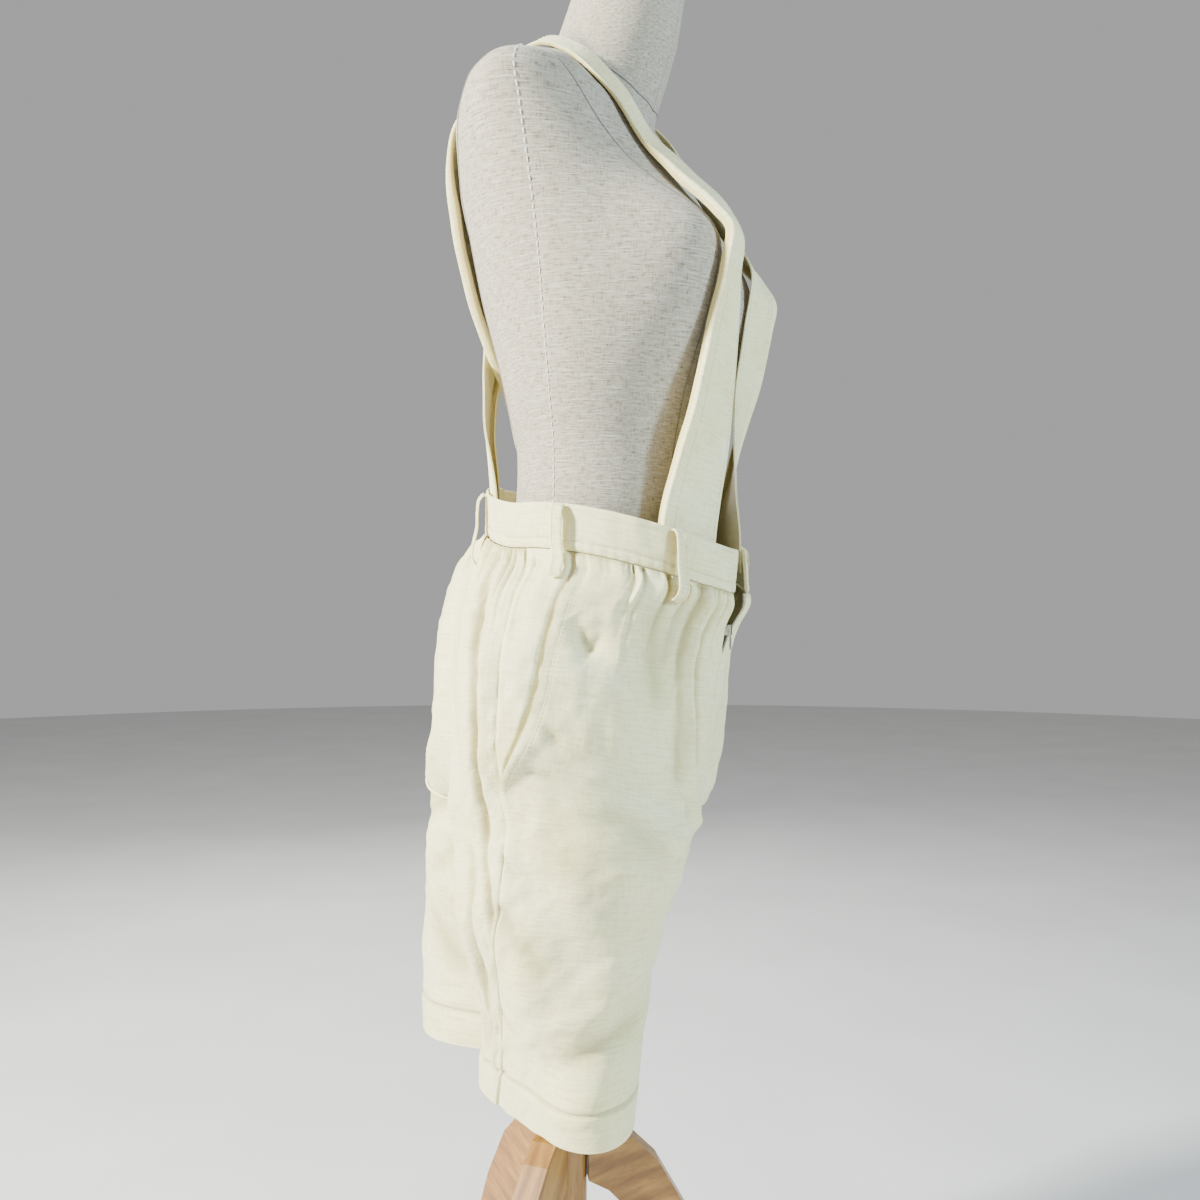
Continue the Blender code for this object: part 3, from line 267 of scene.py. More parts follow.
# Creases that the solids leave out, in the same way as FOLDS. skew makes one flank steeper.
CREASE = "round_0 down_0 round_1 down_1 wide depth skew"
CREASES = {
    "right": table(CREASE, """
.348 .062 .324 .079 .0042 -.0022 .2  # the V of the dimple
.312 .064 .322 .08 .004 -.0018 0
.304 .03 .306 .056 .007 .0022 0  # the cloth lies flatter above it
.402 .141 .366 .154 .0035 -.0014 .3
.428 .178 .384 .182 .003 -.0012 .3
.114 .091 .152 .108 .005 .0011 .4  # a soft ridge off the fly
.152 .108 .192 .134 .006 .0012 .4
.5 .256 .462 .272 .004 -.0014 .2
.5 .4 .43 .417 .0045 -.0014 .2
.5 .295 .446 .318 .01 -.0022 .3
.446 .318 .356 .35 .011 -.002 .3
.308 .43 .252 .403 .011 -.0022 .3
.252 .403 .192 .398 .011 -.0016 .3
.118 .01 .102 .113 .005 .002 .9  # the front edge folded over
.102 .113 .114 .156 .005 .0024 .9
.114 .156 .206 .24 .0065 .0024 .9
.08 .043 .076 .12 .0035 .0009 .4
.136 .014 .128 .12 .0045 -.0028 .4  # the troughs beside it
.128 .12 .144 .2 .0055 -.0022 .4
.086 .012 .08 .15 .004 -.0026 .4
.176 .012 .17 .08 .005 -.002 .3
.228 .03 .184 .115 .01 -.0022 0
.6 .03 .57 .105 .006 -.003 .5  # the long dark fold behind the seam
.57 .105 .565 .262 .0055 -.0036 .5
.565 .262 .512 .318 .006 -.0028 .5
.64 .02 .63 .16 .006 .0018 .3
.69 .015 .7 .13 .0055 -.0024 .3
.74 .012 .75 .18 .006 .0022 .3
.62 .25 .64 .46 .009 -.0024 .4
.7 .3 .69 .48 .01 .0022 .4
.9 .2 .78 .25 .008 -.0022 .3  # drag lines under the seat
.92 .225 .82 .3 .009 -.002 .3
.06 .21 .17 .262 .008 -.002 .3
.3 .2 .22 .26 .013 -.0012 0
.38 .24 .3 .3 .014 -.001 0
"""),
    "left": table(CREASE, """
.35 .046 .316 .081 .006 -.0024 .2
.3 .03 .312 .07 .0055 -.002 0
.41 .15 .372 .166 .0035 -.0012 .3
.11 .014 .12 .13 .0055 .0018 .7
.12 .13 .19 .232 .007 .002 .7
.21 .028 .19 .12 .01 -.002 0
.59 .026 .575 .18 .0055 -.0026 .5
.65 .018 .642 .15 .006 .0018 .3
.7 .014 .715 .17 .006 -.0022 .3
.78 .012 .79 .2 .006 .002 .3
.93 .21 .8 .262 .008 -.002 .3
.94 .24 .85 .32 .009 -.0018 .3
.07 .215 .18 .27 .008 -.002 .3
.48 .27 .42 .3 .01 -.0018 .3
.38 .4 .3 .44 .011 -.0018 .3
.62 .38 .56 .42 .01 -.0016 .3
.84 .36 .9 .43 .011 -.0018 .3
"""),
}

# Seams of the dress form, as places round it (degrees from the front) and heights.
SEAM_LINES = {
    "front": numbers("""
-88 1.352   -80 1.333   -75.5 1.31   -70.8 1.293   -64.8 1.276   -54.8 1.254   -44.5 1.237   -36 1.222
-30.5 1.2   -30 1.17   -32 1.13   -33.5 1.09   -34 1.049   -36 1   -37 .96   -37 .9   -36 .772
"""),
    "side": numbers("""
-93 1.348   -91.2 1.269   -89.5 1.186   -89.2 1.069   -89.5 .998   -90 .9   -90 .772
"""),
    "back": numbers("""
-99 1.35   -112 1.32   -124 1.28   -133 1.22   -137 1.15   -136 1.092   -136 1.04   -138 .99   -138 .9
-139 .772
"""),
}
NECK_SEAM = numbers("""
0 1.35   31 1.355   51 1.364   73 1.375   100 1.381   140 1.384   180 1.385
""")


# ---- curves and surfaces, as on the solids ----
def steady_slopes(places, values):
    """Slopes at the places of a smooth curve that never overshoots the values."""
    run = np.diff(places)
    rise = np.diff(values) / run
    slope = np.concatenate([[rise[0]], np.zeros(len(places) - 2), [rise[-1]]])
    for i in range(1, len(places) - 1):
        if rise[i - 1] * rise[i] > 0:
            before, after = 2 * run[i] + run[i - 1], run[i] + 2 * run[i - 1]
            slope[i] = (before + after) / (before / rise[i - 1] + after / rise[i])
    return slope


CURVES = {}                    # the slopes of each table, worked out once


def hermite(places, values, slopes, at):
    """A smooth curve through the values at the places, with the given slopes, read at others."""
    i = np.clip(np.searchsorted(places, at) - 1, 0, len(places) - 2)
    run = (places[i + 1] - places[i])[..., None]
    t = np.clip((at - places[i])[..., None] / run, 0, 1)
    return ((2 * t**3 - 3 * t**2 + 1) * values[i] + (t**3 - 2 * t**2 + t) * run * slopes[i]
            + (3 * t**2 - 2 * t**3) * values[i + 1] + (t**3 - t**2) * run * slopes[i + 1])


def read(rows, key, names, at):
    """The named columns of a table, smoothly between its rows."""
    names = names.split()
    told = (id(rows), *names)
    if told not in CURVES:
        places = np.array([row[key] for row in rows])
        values = np.array([[row[name] for name in names] for row in rows])
        slopes = np.stack([steady_slopes(places, column) for column in values.T], axis=-1)
        CURVES[told] = places, values, slopes
    found = np.moveaxis(hermite(*CURVES[told], np.asarray(at, float)), -1, 0)
    return found[0] if len(names) == 1 else found


def spread(*values):
    """Numbers and arrays, all brought to the same shape."""
    return np.broadcast_arrays(*(np.asarray(value, float) for value in values))


def step(t):
    """0 below 0, 1 above 1, and smooth between."""
    t = np.clip(t, 0, 1)
    return t * t * (3 - 2 * t)


def unit(v):
    return v / np.maximum(np.linalg.norm(v, axis=-1, keepdims=True), 1e-12)


def own_section(leg, rounds, down):
    """Points of a leg's smooth sections, before the two legs are joined at the centre."""
    side, rows = LEGS[leg]
    names = SECTION.split(None, 1)[1]
    at = dict(zip(names.split(), read(rows, "down", names, down)))
    front_half = rounds < 0.5
    share = np.abs(1 - 2 * rounds)         # 0 at the side seam and 1 at either end
    straight, end_at = np.where(front_half, 0, 180), np.where(front_half, at["front_at"], at["back_at"])
    turn = np.radians(at["side_at"] + (straight - at["side_at"]) * share
                      + (end_at - straight) * share**FORK)
    swell = 1 + at["full"] * np.sin(2 * turn) ** 2 * (np.cos(turn) > 0) * (np.sin(turn) > 0)
    out = swell * np.sin(turn) * np.where(np.sin(turn) > 0, at["out"], at["inn"])
    ahead = swell * np.cos(turn) * np.where(np.cos(turn) > 0, at["front"], at["back"])
    facing = math.radians(FLAT_AT)
    press = np.maximum(out * math.sin(facing) + ahead * math.cos(facing), 0) / at["flat"]
    out, ahead = (a / (1 + press**6) ** (1 / 6) for a in (out, ahead))
    lean = np.radians(at["lean"])
    x = at["x"] + side * (out * np.cos(lean) + ahead * np.sin(lean))
    y = at["y"] - (ahead * np.cos(lean) - out * np.sin(lean))
    end_z = np.where(front_half, at["front_z"], at["back_z"])
    z = at["side_z"] + (end_z - at["side_z"]) * np.cos(np.pi * rounds) ** 2
    return np.stack([x, y, z], axis=-1)


def section(leg, rounds, down):
    """The smooth outside of a leg; above the crotch both legs end on one centre seam."""
    rounds, down = spread(rounds, down)
    points = own_section(leg, rounds, down)
    shared = 1 - step((down - CROTCH_DOWN) / 0.05)
    for end in (0.0, 1.0):
        ends = [own_section(name, np.full_like(down, end), down) for name in LEGS]
        seam = (ends[0] + ends[1]) / 2
        own = ends[0] if leg == "right" else ends[1]
        near = np.clip(1 - np.abs(rounds - end) / 0.22, 0, 1) ** 2
        points = points + (seam - own) * (near * shared)[..., None]
    points[..., 0] += LEGS[leg][0] * SEAM_GAP / 2
    return points


def outward(leg, rounds, down):
    """The direction out of the cloth; the two legs share it at the centre seam."""
    rounds, down = spread(rounds, down)
    d = 0.004
    along = section(leg, rounds + d, down) - section(leg, rounds - d, down)
    below = (section(leg, rounds, np.minimum(down + d, HEM_DOWN))
             - section(leg, rounds, np.maximum(down - d, 0)))
    normal = unit(np.cross(along, below)) * -LEGS[leg][0]
    under = np.radians(90) * step((down - 0.150) / (CROTCH_DOWN - 0.150))
    apart = step((down - 0.200) / (CROTCH_DOWN - 0.200)) * -LEGS[leg][0]
    for end, way in ((0.0, -1), (1.0, 1)):
        seam = unit(np.stack([apart, way * np.cos(under), -np.sin(under)], axis=-1))
        near = (np.clip(1 - np.abs(rounds - end) / 0.06, 0, 1)
                * (1 - step((down - CROTCH_DOWN) / 0.03)))[..., None]
        normal = unit(normal * (1 - near) + seam * near)
    return normal


def gather_height(rounds, down):
    """How far the gathers under the band stand in or out, uneven along the band."""
    wander = 0.22 * np.sin(9.1 * rounds + 0.4) + 0.16 * np.sin(23.0 * rounds + 1.1)
    wave = np.sin(2 * np.pi * (rounds * GATHERS + wander))
    deep = 0.55 + 0.25 * np.sin(17.0 * rounds + 2.0) + 0.35 * step((rounds - 0.5) / 0.2)
    deep = deep * (1 - 0.6 * step((rounds - 0.28) / 0.06) * (1 - step((rounds - 0.50) / 0.03)))
    swell = (down / 0.012) * np.exp(1 - down / 0.012)
    reach = 0.055 + 0.035 * np.sin(31.0 * rounds + 0.7)
    return wave * deep * (0.0009 + 0.0019 * swell) * (1 - step(down / reach))


def bell(x, wide):
    """1 at x = 0, and smoothly to nothing on both sides."""
    return np.exp(-((x / wide) ** 2))


def lengths(line):
    """How far along a line each of its points is."""
    return np.concatenate([[0], np.cumsum(np.linalg.norm(np.diff(line, axis=0), axis=1))])


def from_line(line, rounds, down, wide):
    """How far along a fold's line places are (0 to 1), the ways to them from it, and the line."""
    run = np.array([(line["round_1"] - line["round_0"]) * wide, line["down_1"] - line["down_0"]])
    place = np.stack([(rounds - line["round_0"]) * wide, down - line["down_0"]], axis=-1)
    t = np.clip((place @ run) / (run @ run), 0, 1)
    return t, place - t[..., None] * run, run


def fold_height(leg, rounds, down):
    """How far the folds stand in or out."""
    height = np.zeros(np.broadcast(rounds, down).shape)
    stretch = (0.42 + 0.18 * step((down - 0.15) / 0.1)) / 0.5
    for fold in FOLDS[leg]:
        t, away, _ = from_line(fold, rounds, down, 0.5)
        away[..., 0] *= stretch
        far = np.linalg.norm(away, axis=-1) / fold["wide"]
        height = height + fold["depth"] * np.exp(-far**2) * (0.35 + 0.65 * np.sin(np.pi * t) ** 0.5)
    return height * step(down / 0.03) * (1 - 0.35 * step((down - 0.46) / 0.04))


def cloth(leg, rounds, down, lift=0.0):
    """A point of the cloth's outside, moved out by lift."""
    rounds, down = spread(rounds, down)
    calm = step(np.minimum(rounds, 1 - rounds) / 0.03)    # nothing moves the centre seams and inseams
    height = (gather_height(rounds, down) + fold_height(leg, rounds, down)) * calm + lift
    way = outward(leg, rounds, down)
    way[..., 2] *= step(down / 0.012)                     # the top edge stays level under the band
    return section(leg, rounds, down) + way * height[..., None] + fly_opening(leg, rounds, down)


def fly_opening(leg, rounds, down):
    """The open fly parts the two fronts in a V above FLY_DOWN."""
    part = 0.0115 * np.clip(1 - down / FLY_DOWN, 0, 1) ** 0.6
    near = np.clip(1 - rounds / 0.16, 0, 1) ** 1.5
    back = 0.35 if leg == "right" else -0.20
    shift = np.zeros(np.broadcast(rounds, down).shape + (3,))
    shift[..., 0] = LEGS[leg][0] * part * near
    shift[..., 1] = part * near * back
    return shift


def pocket_round(down):
    """How far round a leg the slant pocket's edge is, and below it the side seam."""
    return np.where(down < POCKET_EDGE[-1]["down"], read(POCKET_EDGE, "down", "round", down), SIDE_ROUND)


def band_point(leg, rounds, high, lift=0.0):
    """A place on the outside of the band, high above its lower edge."""
    rounds, high, lift = spread(rounds, high, lift)
    points = (section(leg, rounds, 0.0)
              + fly_opening(leg, rounds, 0.0) * (1 - high / BAND_HIGH * 0.6)[..., None])
    normal = outward(leg, rounds, 0.0)
    normal[..., 2] = 0
    points = points + unit(normal) * (lift + 0.0004)[..., None]
    points[..., 2] += high + SEAM_GAP
    return points


def form_axis(z):
    """Where the line that the form is drawn round is, from front to back."""
    (low, at_low), (high, at_high) = FORM_AXIS
    return at_low + (at_high - at_low) * step((z - low) / (high - low))


def ellipse_radius(way, axis, half, front, back):
    """How far an ellipse between front and back reaches from the form's axis in a direction."""
    centre, deep = (front + back) / 2 - axis, (back - front) / 2
    a = (way[..., 0] / half) ** 2 + (way[..., 1] / deep) ** 2
    b = -2 * way[..., 1] * centre / deep**2
    c = (centre / deep) ** 2 - 1
    return (-b + np.sqrt(np.maximum(b * b - 4 * a * c, 0))) / (2 * a)


def swelling(lobe, x, way, z):
    """How far a soft swelling of the form's front stands out, x being measured from its middle."""
    shape = np.exp(-((x / lobe["wide"]) ** 2) - ((z - lobe["z"]) / lobe["high"]) ** 2)
    return lobe["proud"] * shape * np.clip(-way[..., 1], 0, 1) ** 0.5


def form_radius(way, z):
    """How far the form reaches from its axis in a direction at a height."""
    body, neck = (ellipse_radius(way, form_axis(z), *read(rows, "z", "half front back", z))
                  for rows in (FORM, NECK))
    neck = np.where(z > NECK[0]["z"], neck, 0.0)
    top = np.maximum(body, neck)
    radius = top + NECK_SOFT * np.log(np.exp((body - top) / NECK_SOFT) + np.exp((neck - top) / NECK_SOFT))
    return radius + swelling(BUST, np.abs(radius * way[..., 0]) - BUST["x"], way, z)


def form_level(points):
    """How far points are outside the form, measured level from its axis."""
    z = np.clip(points[..., 2], FORM_BOTTOM, FORM_TOP)
    flat = points[..., :2] - np.stack([0 * z, form_axis(z)], axis=-1)
    far = np.linalg.norm(flat, axis=-1)
    return far - form_radius(flat / np.maximum(far, 1e-9)[..., None], z)


def form_reach(points):
    """How far points are outside the form, roughly in metres, and the way out."""
    d = 0.0008
    slope = np.stack([(form_level(points + nudge) - form_level(points - nudge)) / (2 * d)
                      for nudge in d * np.eye(3)], axis=-1)
    size = np.maximum(np.linalg.norm(slope, axis=-1), 1.0)
    return form_level(points) / size, slope / size[..., None]


def over_form(points):
    """How far points are above the form, straight up."""
    low, high = points[..., 2] - 0.07, points[..., 2] + 0.07
    for _ in range(18):
        middle = (low + high) / 2
        outside = form_level(np.concatenate([points[..., :2], middle[..., None]], axis=-1)) > 0
        low, high = np.where(outside, low, middle), np.where(outside, middle, high)
    return points[..., 2] - high



# ---- finer cloth ----
LATTICE = np.random.default_rng(7).standard_normal((64, 64))


def waves(u, v, size, seed=0):
    """Smooth uneven noise, about 1 high, with bumps of the given size."""
    u, v = spread(u, v)
    u, v = u / size + 11.3 * seed, v / size + 5.7 * seed
    i, j = np.floor(u).astype(int), np.floor(v).astype(int)
    s, t = step(u - i), step(v - j)
    corners = [LATTICE[(i + a) % 64, (j + b) % 64] for a in (0, 1) for b in (0, 1)]
    return ((corners[0] * (1 - t) + corners[1] * t) * (1 - s)
            + (corners[2] * (1 - t) + corners[3] * t) * s)


def girth(down):
    """Roughly how long half of a section is, to turn shares of a half into metres."""
    return HALF_BAND + 0.02 * step(down / 0.1)


def fine_gathers(leg, rounds, down):
    """The small sharp gathers right under the band, closest together at the back."""
    shift = 0.0 if leg == "right" else 0.37
    where = (0.45 + 0.85 * step((rounds - 0.46) / 0.10) + 0.25 * bell(rounds - 0.37, 0.06)
             + 0.80 * (1 - step((rounds - 0.26) / 0.07)))
    height = 0.0
    for count, deep, long, seed in ((61, 0.0036, 0.014, 3), (33, 0.0042, 0.034, 7)):
        phase = rounds * count + 1.2 * waves(rounds, 0 * rounds, 0.045, seed + shift) + shift
        fold = 1 - 2 * np.abs((phase % 1) - 0.5)           # 0 between gathers and 1 on them
        fold = fold**0.8 - 0.62
        uneven = 0.75 + 0.45 * waves(np.floor(phase) * 0.37, 0 * rounds, 0.5, seed + 2)
        reach = long * (1 + 0.45 * waves(rounds, 0 * rounds, 0.022, seed + 5 + shift))
        rise = np.clip(down / 0.002, 0, 1) ** 0.6
        fade = np.exp(-((down / np.maximum(reach, 0.4 * long)) ** 1.4))
        height = height + deep * where * np.clip(uneven, 0.2, 1.5) * fold * fade * (0.2 + 0.8 * rise)
    return height


def crease_height(leg, rounds, down):
    """How far the creases stand in or out, with the swell along the side seam."""
    height = np.zeros(np.broadcast(rounds, down).shape)
    for crease in CREASES[leg]:
        t, away, run = from_line(crease, rounds, down, 0.42)
        side = (away[..., 0] * run[1] - away[..., 1] * run[0]) / np.linalg.norm(run)
        far = np.linalg.norm(away, axis=-1) / crease["wide"]
        lean = 1 + crease["skew"] * np.tanh(2.5 * side / crease["wide"])
        height += (CREASE_GAIN * crease["depth"] * np.exp(-far**1.7) * lean
                   * (0.3 + 0.7 * np.sin(np.pi * t) ** 0.5))
    height += 0.0028 * bell(rounds - 0.5, 0.030) * (1 - step((down - 0.16) / 0.04))
    return height * step(down / 0.012)


def fine_height(leg, rounds, down):
    """All that the cloth has beyond the solids: gathers, creases, crumple and the hem."""
    across, seed, below = rounds * girth(down), 1 if leg == "right" else 21, down - HEM_LINE
    bend = 0.0014 * waves(across, down * 0.6, 0.030, seed) + 0.0006 * waves(across, down, 0.011, seed + 1)
    ease = step(down / 0.05) * (1 - 0.6 * step((down - 0.45) / 0.03))
    hem = 0.0012 * step(below / 0.003) - 0.0018 * bell(below, HEM_GROOVE)
    hem = hem + 0.0004 * waves(across, 0, 0.016, seed + 3) * step((below + 0.02) / 0.02)
    return fine_gathers(leg, rounds, down) + crease_height(leg, rounds, down) + bend * ease + hem


def tucked(distance, deep=0.0010, reach=0.0022):
    """How far a seam draws the cloth in, by the distance to it."""
    return -deep * np.exp(-(np.maximum(distance, 0) / reach) ** 1.5)


# ---- materials ----
WHITE, BLACK = (1, 1, 1), (0, 0, 0)


class Shader:
    """A material's node tree, built up from its Principled BSDF."""

    def __init__(self, name, rough, specular, metallic=0.0):
        self.material = bpy.data.materials.new(name)
        self.material.use_nodes = True
        self.tree = self.material.node_tree
        self.surface = self.tree.nodes["Principled BSDF"]
        self.set(self.surface, **{"Roughness": rough, "Specular IOR Level": specular, "Metallic": metallic})

    def put(self, socket, value):
        """A constant on a socket, or a link to it from another one."""
        if hasattr(value, "links"):
            self.tree.links.new(value, socket)
        else:
            socket.default_value = value

    def set(self, node, **values):
        for name, value in values.items():
            self.put(node.inputs[name], value)
        return node

    def add(self, kind, settings=None, **values):
        node = self.tree.nodes.new(kind)
        for key, value in (settings or {}).items():
            setattr(node, key, value)
        return self.set(node, **values)

    def mapped(self, vector, scale=(1, 1, 1), turn=(0, 0, 0)):
        return self.add("ShaderNodeMapping", Vector=vector, Scale=scale, Rotation=turn).outputs["Vector"]

    def at(self, name, scale=(1, 1, 1)):
        """Coordinates that the mesh carries under a name."""
        return self.mapped(self.add("ShaderNodeAttribute", {"attribute_name": name}).outputs["Vector"], scale)

    def inside(self, turn=(0, 0, 0)):
        """The object's own coordinates."""
        return self.mapped(self.add("ShaderNodeTexCoord").outputs["Object"], turn=turn)

    def noise(self, vector, scale, detail=3.0, rough=0.5):
        return self.add("ShaderNodeTexNoise", Vector=vector, Scale=scale, Detail=detail,
                        Roughness=rough).outputs["Fac"]

    def bands(self, vector, scale, direction, distort, detail):
        return self.add("ShaderNodeTexWave", {"bands_direction": direction}, Vector=vector, Scale=scale,
                        Distortion=distort, Detail=detail).outputs["Fac"]

    def math(self, operation, a, b):
        node = self.add("ShaderNodeMath", {"operation": operation})
        self.put(node.inputs[0], a)
        self.put(node.inputs[1], b)
        return node.outputs["Value"]

    def both(self, a, share, b, other):
        """Two greys added up, each times its share."""
        return self.math("ADD", self.math("MULTIPLY", a, share), self.math("MULTIPLY", b, other))

    def ramp(self, fac, *stops):
        node = self.add("ShaderNodeValToRGB", Fac=fac)
        while len(node.color_ramp.elements) < len(stops):
            node.color_ramp.elements.new(0.5)
        for element, (at, colour) in zip(node.color_ramp.elements, stops):
            element.position, element.color = at, (*colour, 1.0)
        return node.outputs["Color"]

    def tint(self, colour, fac, share, other, blend="MIX"):
        """A colour with another one over it, as strong as fac times share."""
        node = self.add("ShaderNodeMix", {"data_type": "RGBA", "blend_type": blend})
        for index, value in ((0, self.math("MULTIPLY", fac, share)), (6, colour), (7, (*other, 1.0))):
            self.put(node.inputs[index], value)
        return node.outputs[2]

    def bump(self, height, distance, strength, under=None):
        values = {"Height": height, "Distance": distance, "Strength": strength}
        if under is not None:
            values["Normal"] = under
        return self.add("ShaderNodeBump", **values).outputs["Normal"]

    def finish(self, colour, **more):
        self.set(self.surface, **{"Base Color": colour}, **more)
        return self.material


def suiting(name, *tones):
    """Cream twill: a fine diagonal weave, slubs along the weft, a soft cloudy colour and painted shade deep in
    the folds.
    """
    s = Shader(name, 0.62, 0.28)
    s.set(s.surface, **{"Sheen Weight": 0.22, "Sheen Roughness": 0.45})
    cloth_at = s.at("cloth", (1, 1, 0))
    weft, warp = (s.noise(s.at("cloth", scale), 1.0, 4.0, 0.65) for scale in ((55, 480, 0), (430, 70, 0)))
    colour = s.ramp(s.noise(cloth_at, 16.0), *zip((0.30, 0.55, 0.78), tones))
    dark = s.ramp(s.both(weft, 0.65, warp, 0.35), (0.38, WHITE), (0.56, BLACK))
    colour = s.tint(colour, dark, 0.50, (0.52, 0.48, 0.22))
    deep = s.add("ShaderNodeSeparateXYZ", Vector=s.at("cloth")).outputs["Z"]     # painted shade: how deep in a fold
    # painted shade: the colour goes darker and yellower deep in folds, under the band and in the hem groove
    colour = s.tint(colour, deep, 0.85, (0.30, 0.245, 0.085))
    normal = s.bump(s.noise(cloth_at, 55.0, 3.0, 0.55), 0.0022, 0.7)
    normal = s.bump(s.both(weft, 0.7, warp, 0.3), 0.0008, 0.7, normal)
    normal = s.bump(s.bands(cloth_at, 420.0, "DIAGONAL", 1.2, 1.0), 0.00012, 0.45, normal)
    return s.finish(colour, Normal=normal)


def linen(name, light, dark):
    """Coarse unbleached linen with slubs along both threads."""
    s = Shader(name, 0.88, 0.15)
    s.set(s.surface, **{"Sheen Weight": 0.10, "Sheen Roughness": 0.6})
    weft, warp = (s.noise(s.at("form", scale), 1.0, 4.0, 0.7) for scale in ((110, 720, 1), (680, 120, 1)))
    slub = s.ramp(s.noise(s.at("form", (38, 520, 1)), 1.0, 2.0), (0.50, BLACK), (0.72, WHITE))
    threads = s.both(weft, 0.60, warp, 0.40)
    colour = s.ramp(threads, (0.36, dark), (0.50, light), (0.66, tuple(min(1.0, c * 1.25) for c in light)))
    colour = s.tint(colour, slub, 0.28, (0.80, 0.78, 0.72))
    colour = s.tint(colour, s.noise(s.at("form"), 9.0), 0.16, (0.50, 0.46, 0.38), "MULTIPLY")
    return s.finish(colour, Normal=s.bump(slub, 0.00045, 0.6, s.bump(threads, 0.00055, 0.8)))


def oak(name, turn):
    """Oiled oak, its grain along the board."""
    s = Shader(name, 0.42, 0.45)
    s.set(s.surface, **{"Coat Weight": 0.25, "Coat Roughness": 0.25})
    along = s.inside(turn)
    broad = s.noise(s.mapped(along, (4, 110, 110)), 1.0, 4.0, 0.6)
    rings = s.bands(s.mapped(along, (0.35, 3.2, 3.2)), 7.0, "Y", 6.0, 3.0)
    pores = s.noise(s.mapped(along, (60, 900, 900)), 1.0, 2.0)
    grain = s.both(broad, 0.88, rings, 0.12)
    colour = s.ramp(grain, (0.25, (0.120, 0.046, 0.008)), (0.50, (0.255, 0.118, 0.022)),
                    (0.78, (0.400, 0.215, 0.048)))
    colour = s.tint(colour, s.ramp(pores, (0.30, WHITE), (0.42, BLACK)), 0.45, (0.09, 0.038, 0.012))
    return s.finish(colour, Normal=s.bump(pores, 0.00025, 0.35, s.bump(grain, 0.0004, 0.2)),
                    Roughness=s.math("ADD", 0.34, s.math("MULTIPLY", broad, 0.20)))


def plain(name, colour, rough, metallic=0.0, grain=1500.0, deep=0.00006):
    """Thread, tape or plated metal: one colour with a fine uneven surface."""
    s = Shader(name, rough, 0.4, metallic)
    fine = s.noise(s.inside(), grain)
    dim = tuple(c * 0.72 for c in colour)
    return s.finish(s.ramp(fine, (0.30, dim), (0.62, colour)), Normal=s.bump(fine, deep, 0.5))


MATERIALS = {
    "suiting": suiting("suiting", (0.800, 0.740, 0.380), (0.840, 0.795, 0.460), (0.870, 0.835, 0.550)),
    # a darker, yellower copy of the suiting: painted shade for the sides that face in
    "painted_shade_suiting": suiting("painted_shade_suiting", (0.640, 0.530, 0.200), (0.700, 0.600, 0.260), (0.760, 0.680, 0.340)),
    "linen": linen("linen", (0.385, 0.342, 0.265), (0.125, 0.100, 0.062)),
    "thread": plain("thread", (0.80, 0.76, 0.60), 0.6),
    "dark_thread": plain("dark_thread", (0.20, 0.19, 0.17), 0.8),
    "pale_thread": plain("pale_thread", (0.82, 0.80, 0.74), 0.7),
    "tape": plain("tape", (0.80, 0.77, 0.64), 0.8, 0.0, 1100.0, 0.0001),
    "metal": plain("metal", (0.62, 0.61, 0.58), 0.32, 1.0, 260.0, 0.00002),
}


# ---- meshes ----
STITCH = numbers("-.5 -.9 .55   -.34 .35 1   .34 .35 1   .5 -.9 .55", 3)   # along, up and how thick


def linked(name, data):
    """A new object in the scene."""
    made = bpy.data.objects.new(name, data)
    bpy.context.scene.collection.objects.link(made)
    return made


def piece(name, points, faces, finish, at=None, sharp=55, label="cloth"):
    """One closed object with smooth shading; it takes the place of the solid of its name."""
    mesh = bpy.data.meshes.new(f"{name}_looks")
    mesh.from_pydata((np.asarray(points, float) + POST_AT).tolist(), [], faces)
    if at is not None:
        made = mesh.attributes.new(label, "FLOAT_VECTOR", "POINT")
        made.data.foreach_set("vector", np.asarray(at, np.float32).ravel())
    work = bmesh.new()
    work.from_mesh(mesh)
    bmesh.ops.recalc_face_normals(work, faces=work.faces)
    work.to_mesh(mesh)
    work.free()
    mesh.shade_smooth()
    mesh.set_sharp_from_angle(angle=math.radians(sharp))
    mesh.materials.append(MATERIALS[finish])
    made = linked(f"{name}_looks", mesh)
    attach(made, BODY)
    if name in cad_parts:
        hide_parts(name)
    return made


def wall(name, outer, inner, at, finish="suiting", sharp=55):
    """A closed wall between two grids of rows and columns; at is each place on the cloth."""
    rows, columns = outer.shape[:2]
    n = np.arange(rows * columns).reshape(rows, columns)
    back = n + rows * columns

    def quads(grid):
        return np.stack([grid[:-1, :-1], grid[:-1, 1:], grid[1:, 1:], grid[1:, :-1]], axis=-1).reshape(-1, 4)

    def rim(near, far):
        return np.stack([near[:-1], near[1:], far[1:], far[:-1]], axis=-1)

    faces = [quads(n), quads(back)[:, ::-1], rim(n[0], back[0])[:, ::-1], rim(n[-1], back[-1]),
             rim(n[:, 0], back[:, 0]), rim(n[:, -1], back[:, -1])[:, ::-1]]
    points, at = (np.concatenate(pair).reshape(-1, 3) for pair in ((outer, inner), (at, at)))
    return piece(name, points, np.concatenate(faces).tolist(), finish, at, sharp)


def ring_faces(count, around, first=0):
    """The faces of a closed body through rings of points, numbered from first."""
    n = np.arange(count * around).reshape(count, around) + first
    m = np.roll(n, -1, axis=1)
    sides = np.stack([n[:-1], m[:-1], m[1:], n[1:]], axis=-1).reshape(-1, 4).tolist()
    return sides + [n[0][::-1].tolist(), n[-1].tolist()]


def swept(name, rings, finish, at, sharp=55, label="cloth"):
    """A closed body swept through rings of points."""
    return piece(name, rings.reshape(-1, 3), ring_faces(*rings.shape[:2]), finish, at, sharp, label)


def on(s, along, source):
    """What a line's points, or the ways out of them, are at a distance along it."""
    return np.array([np.interp(s, along, column) for column in source.T])


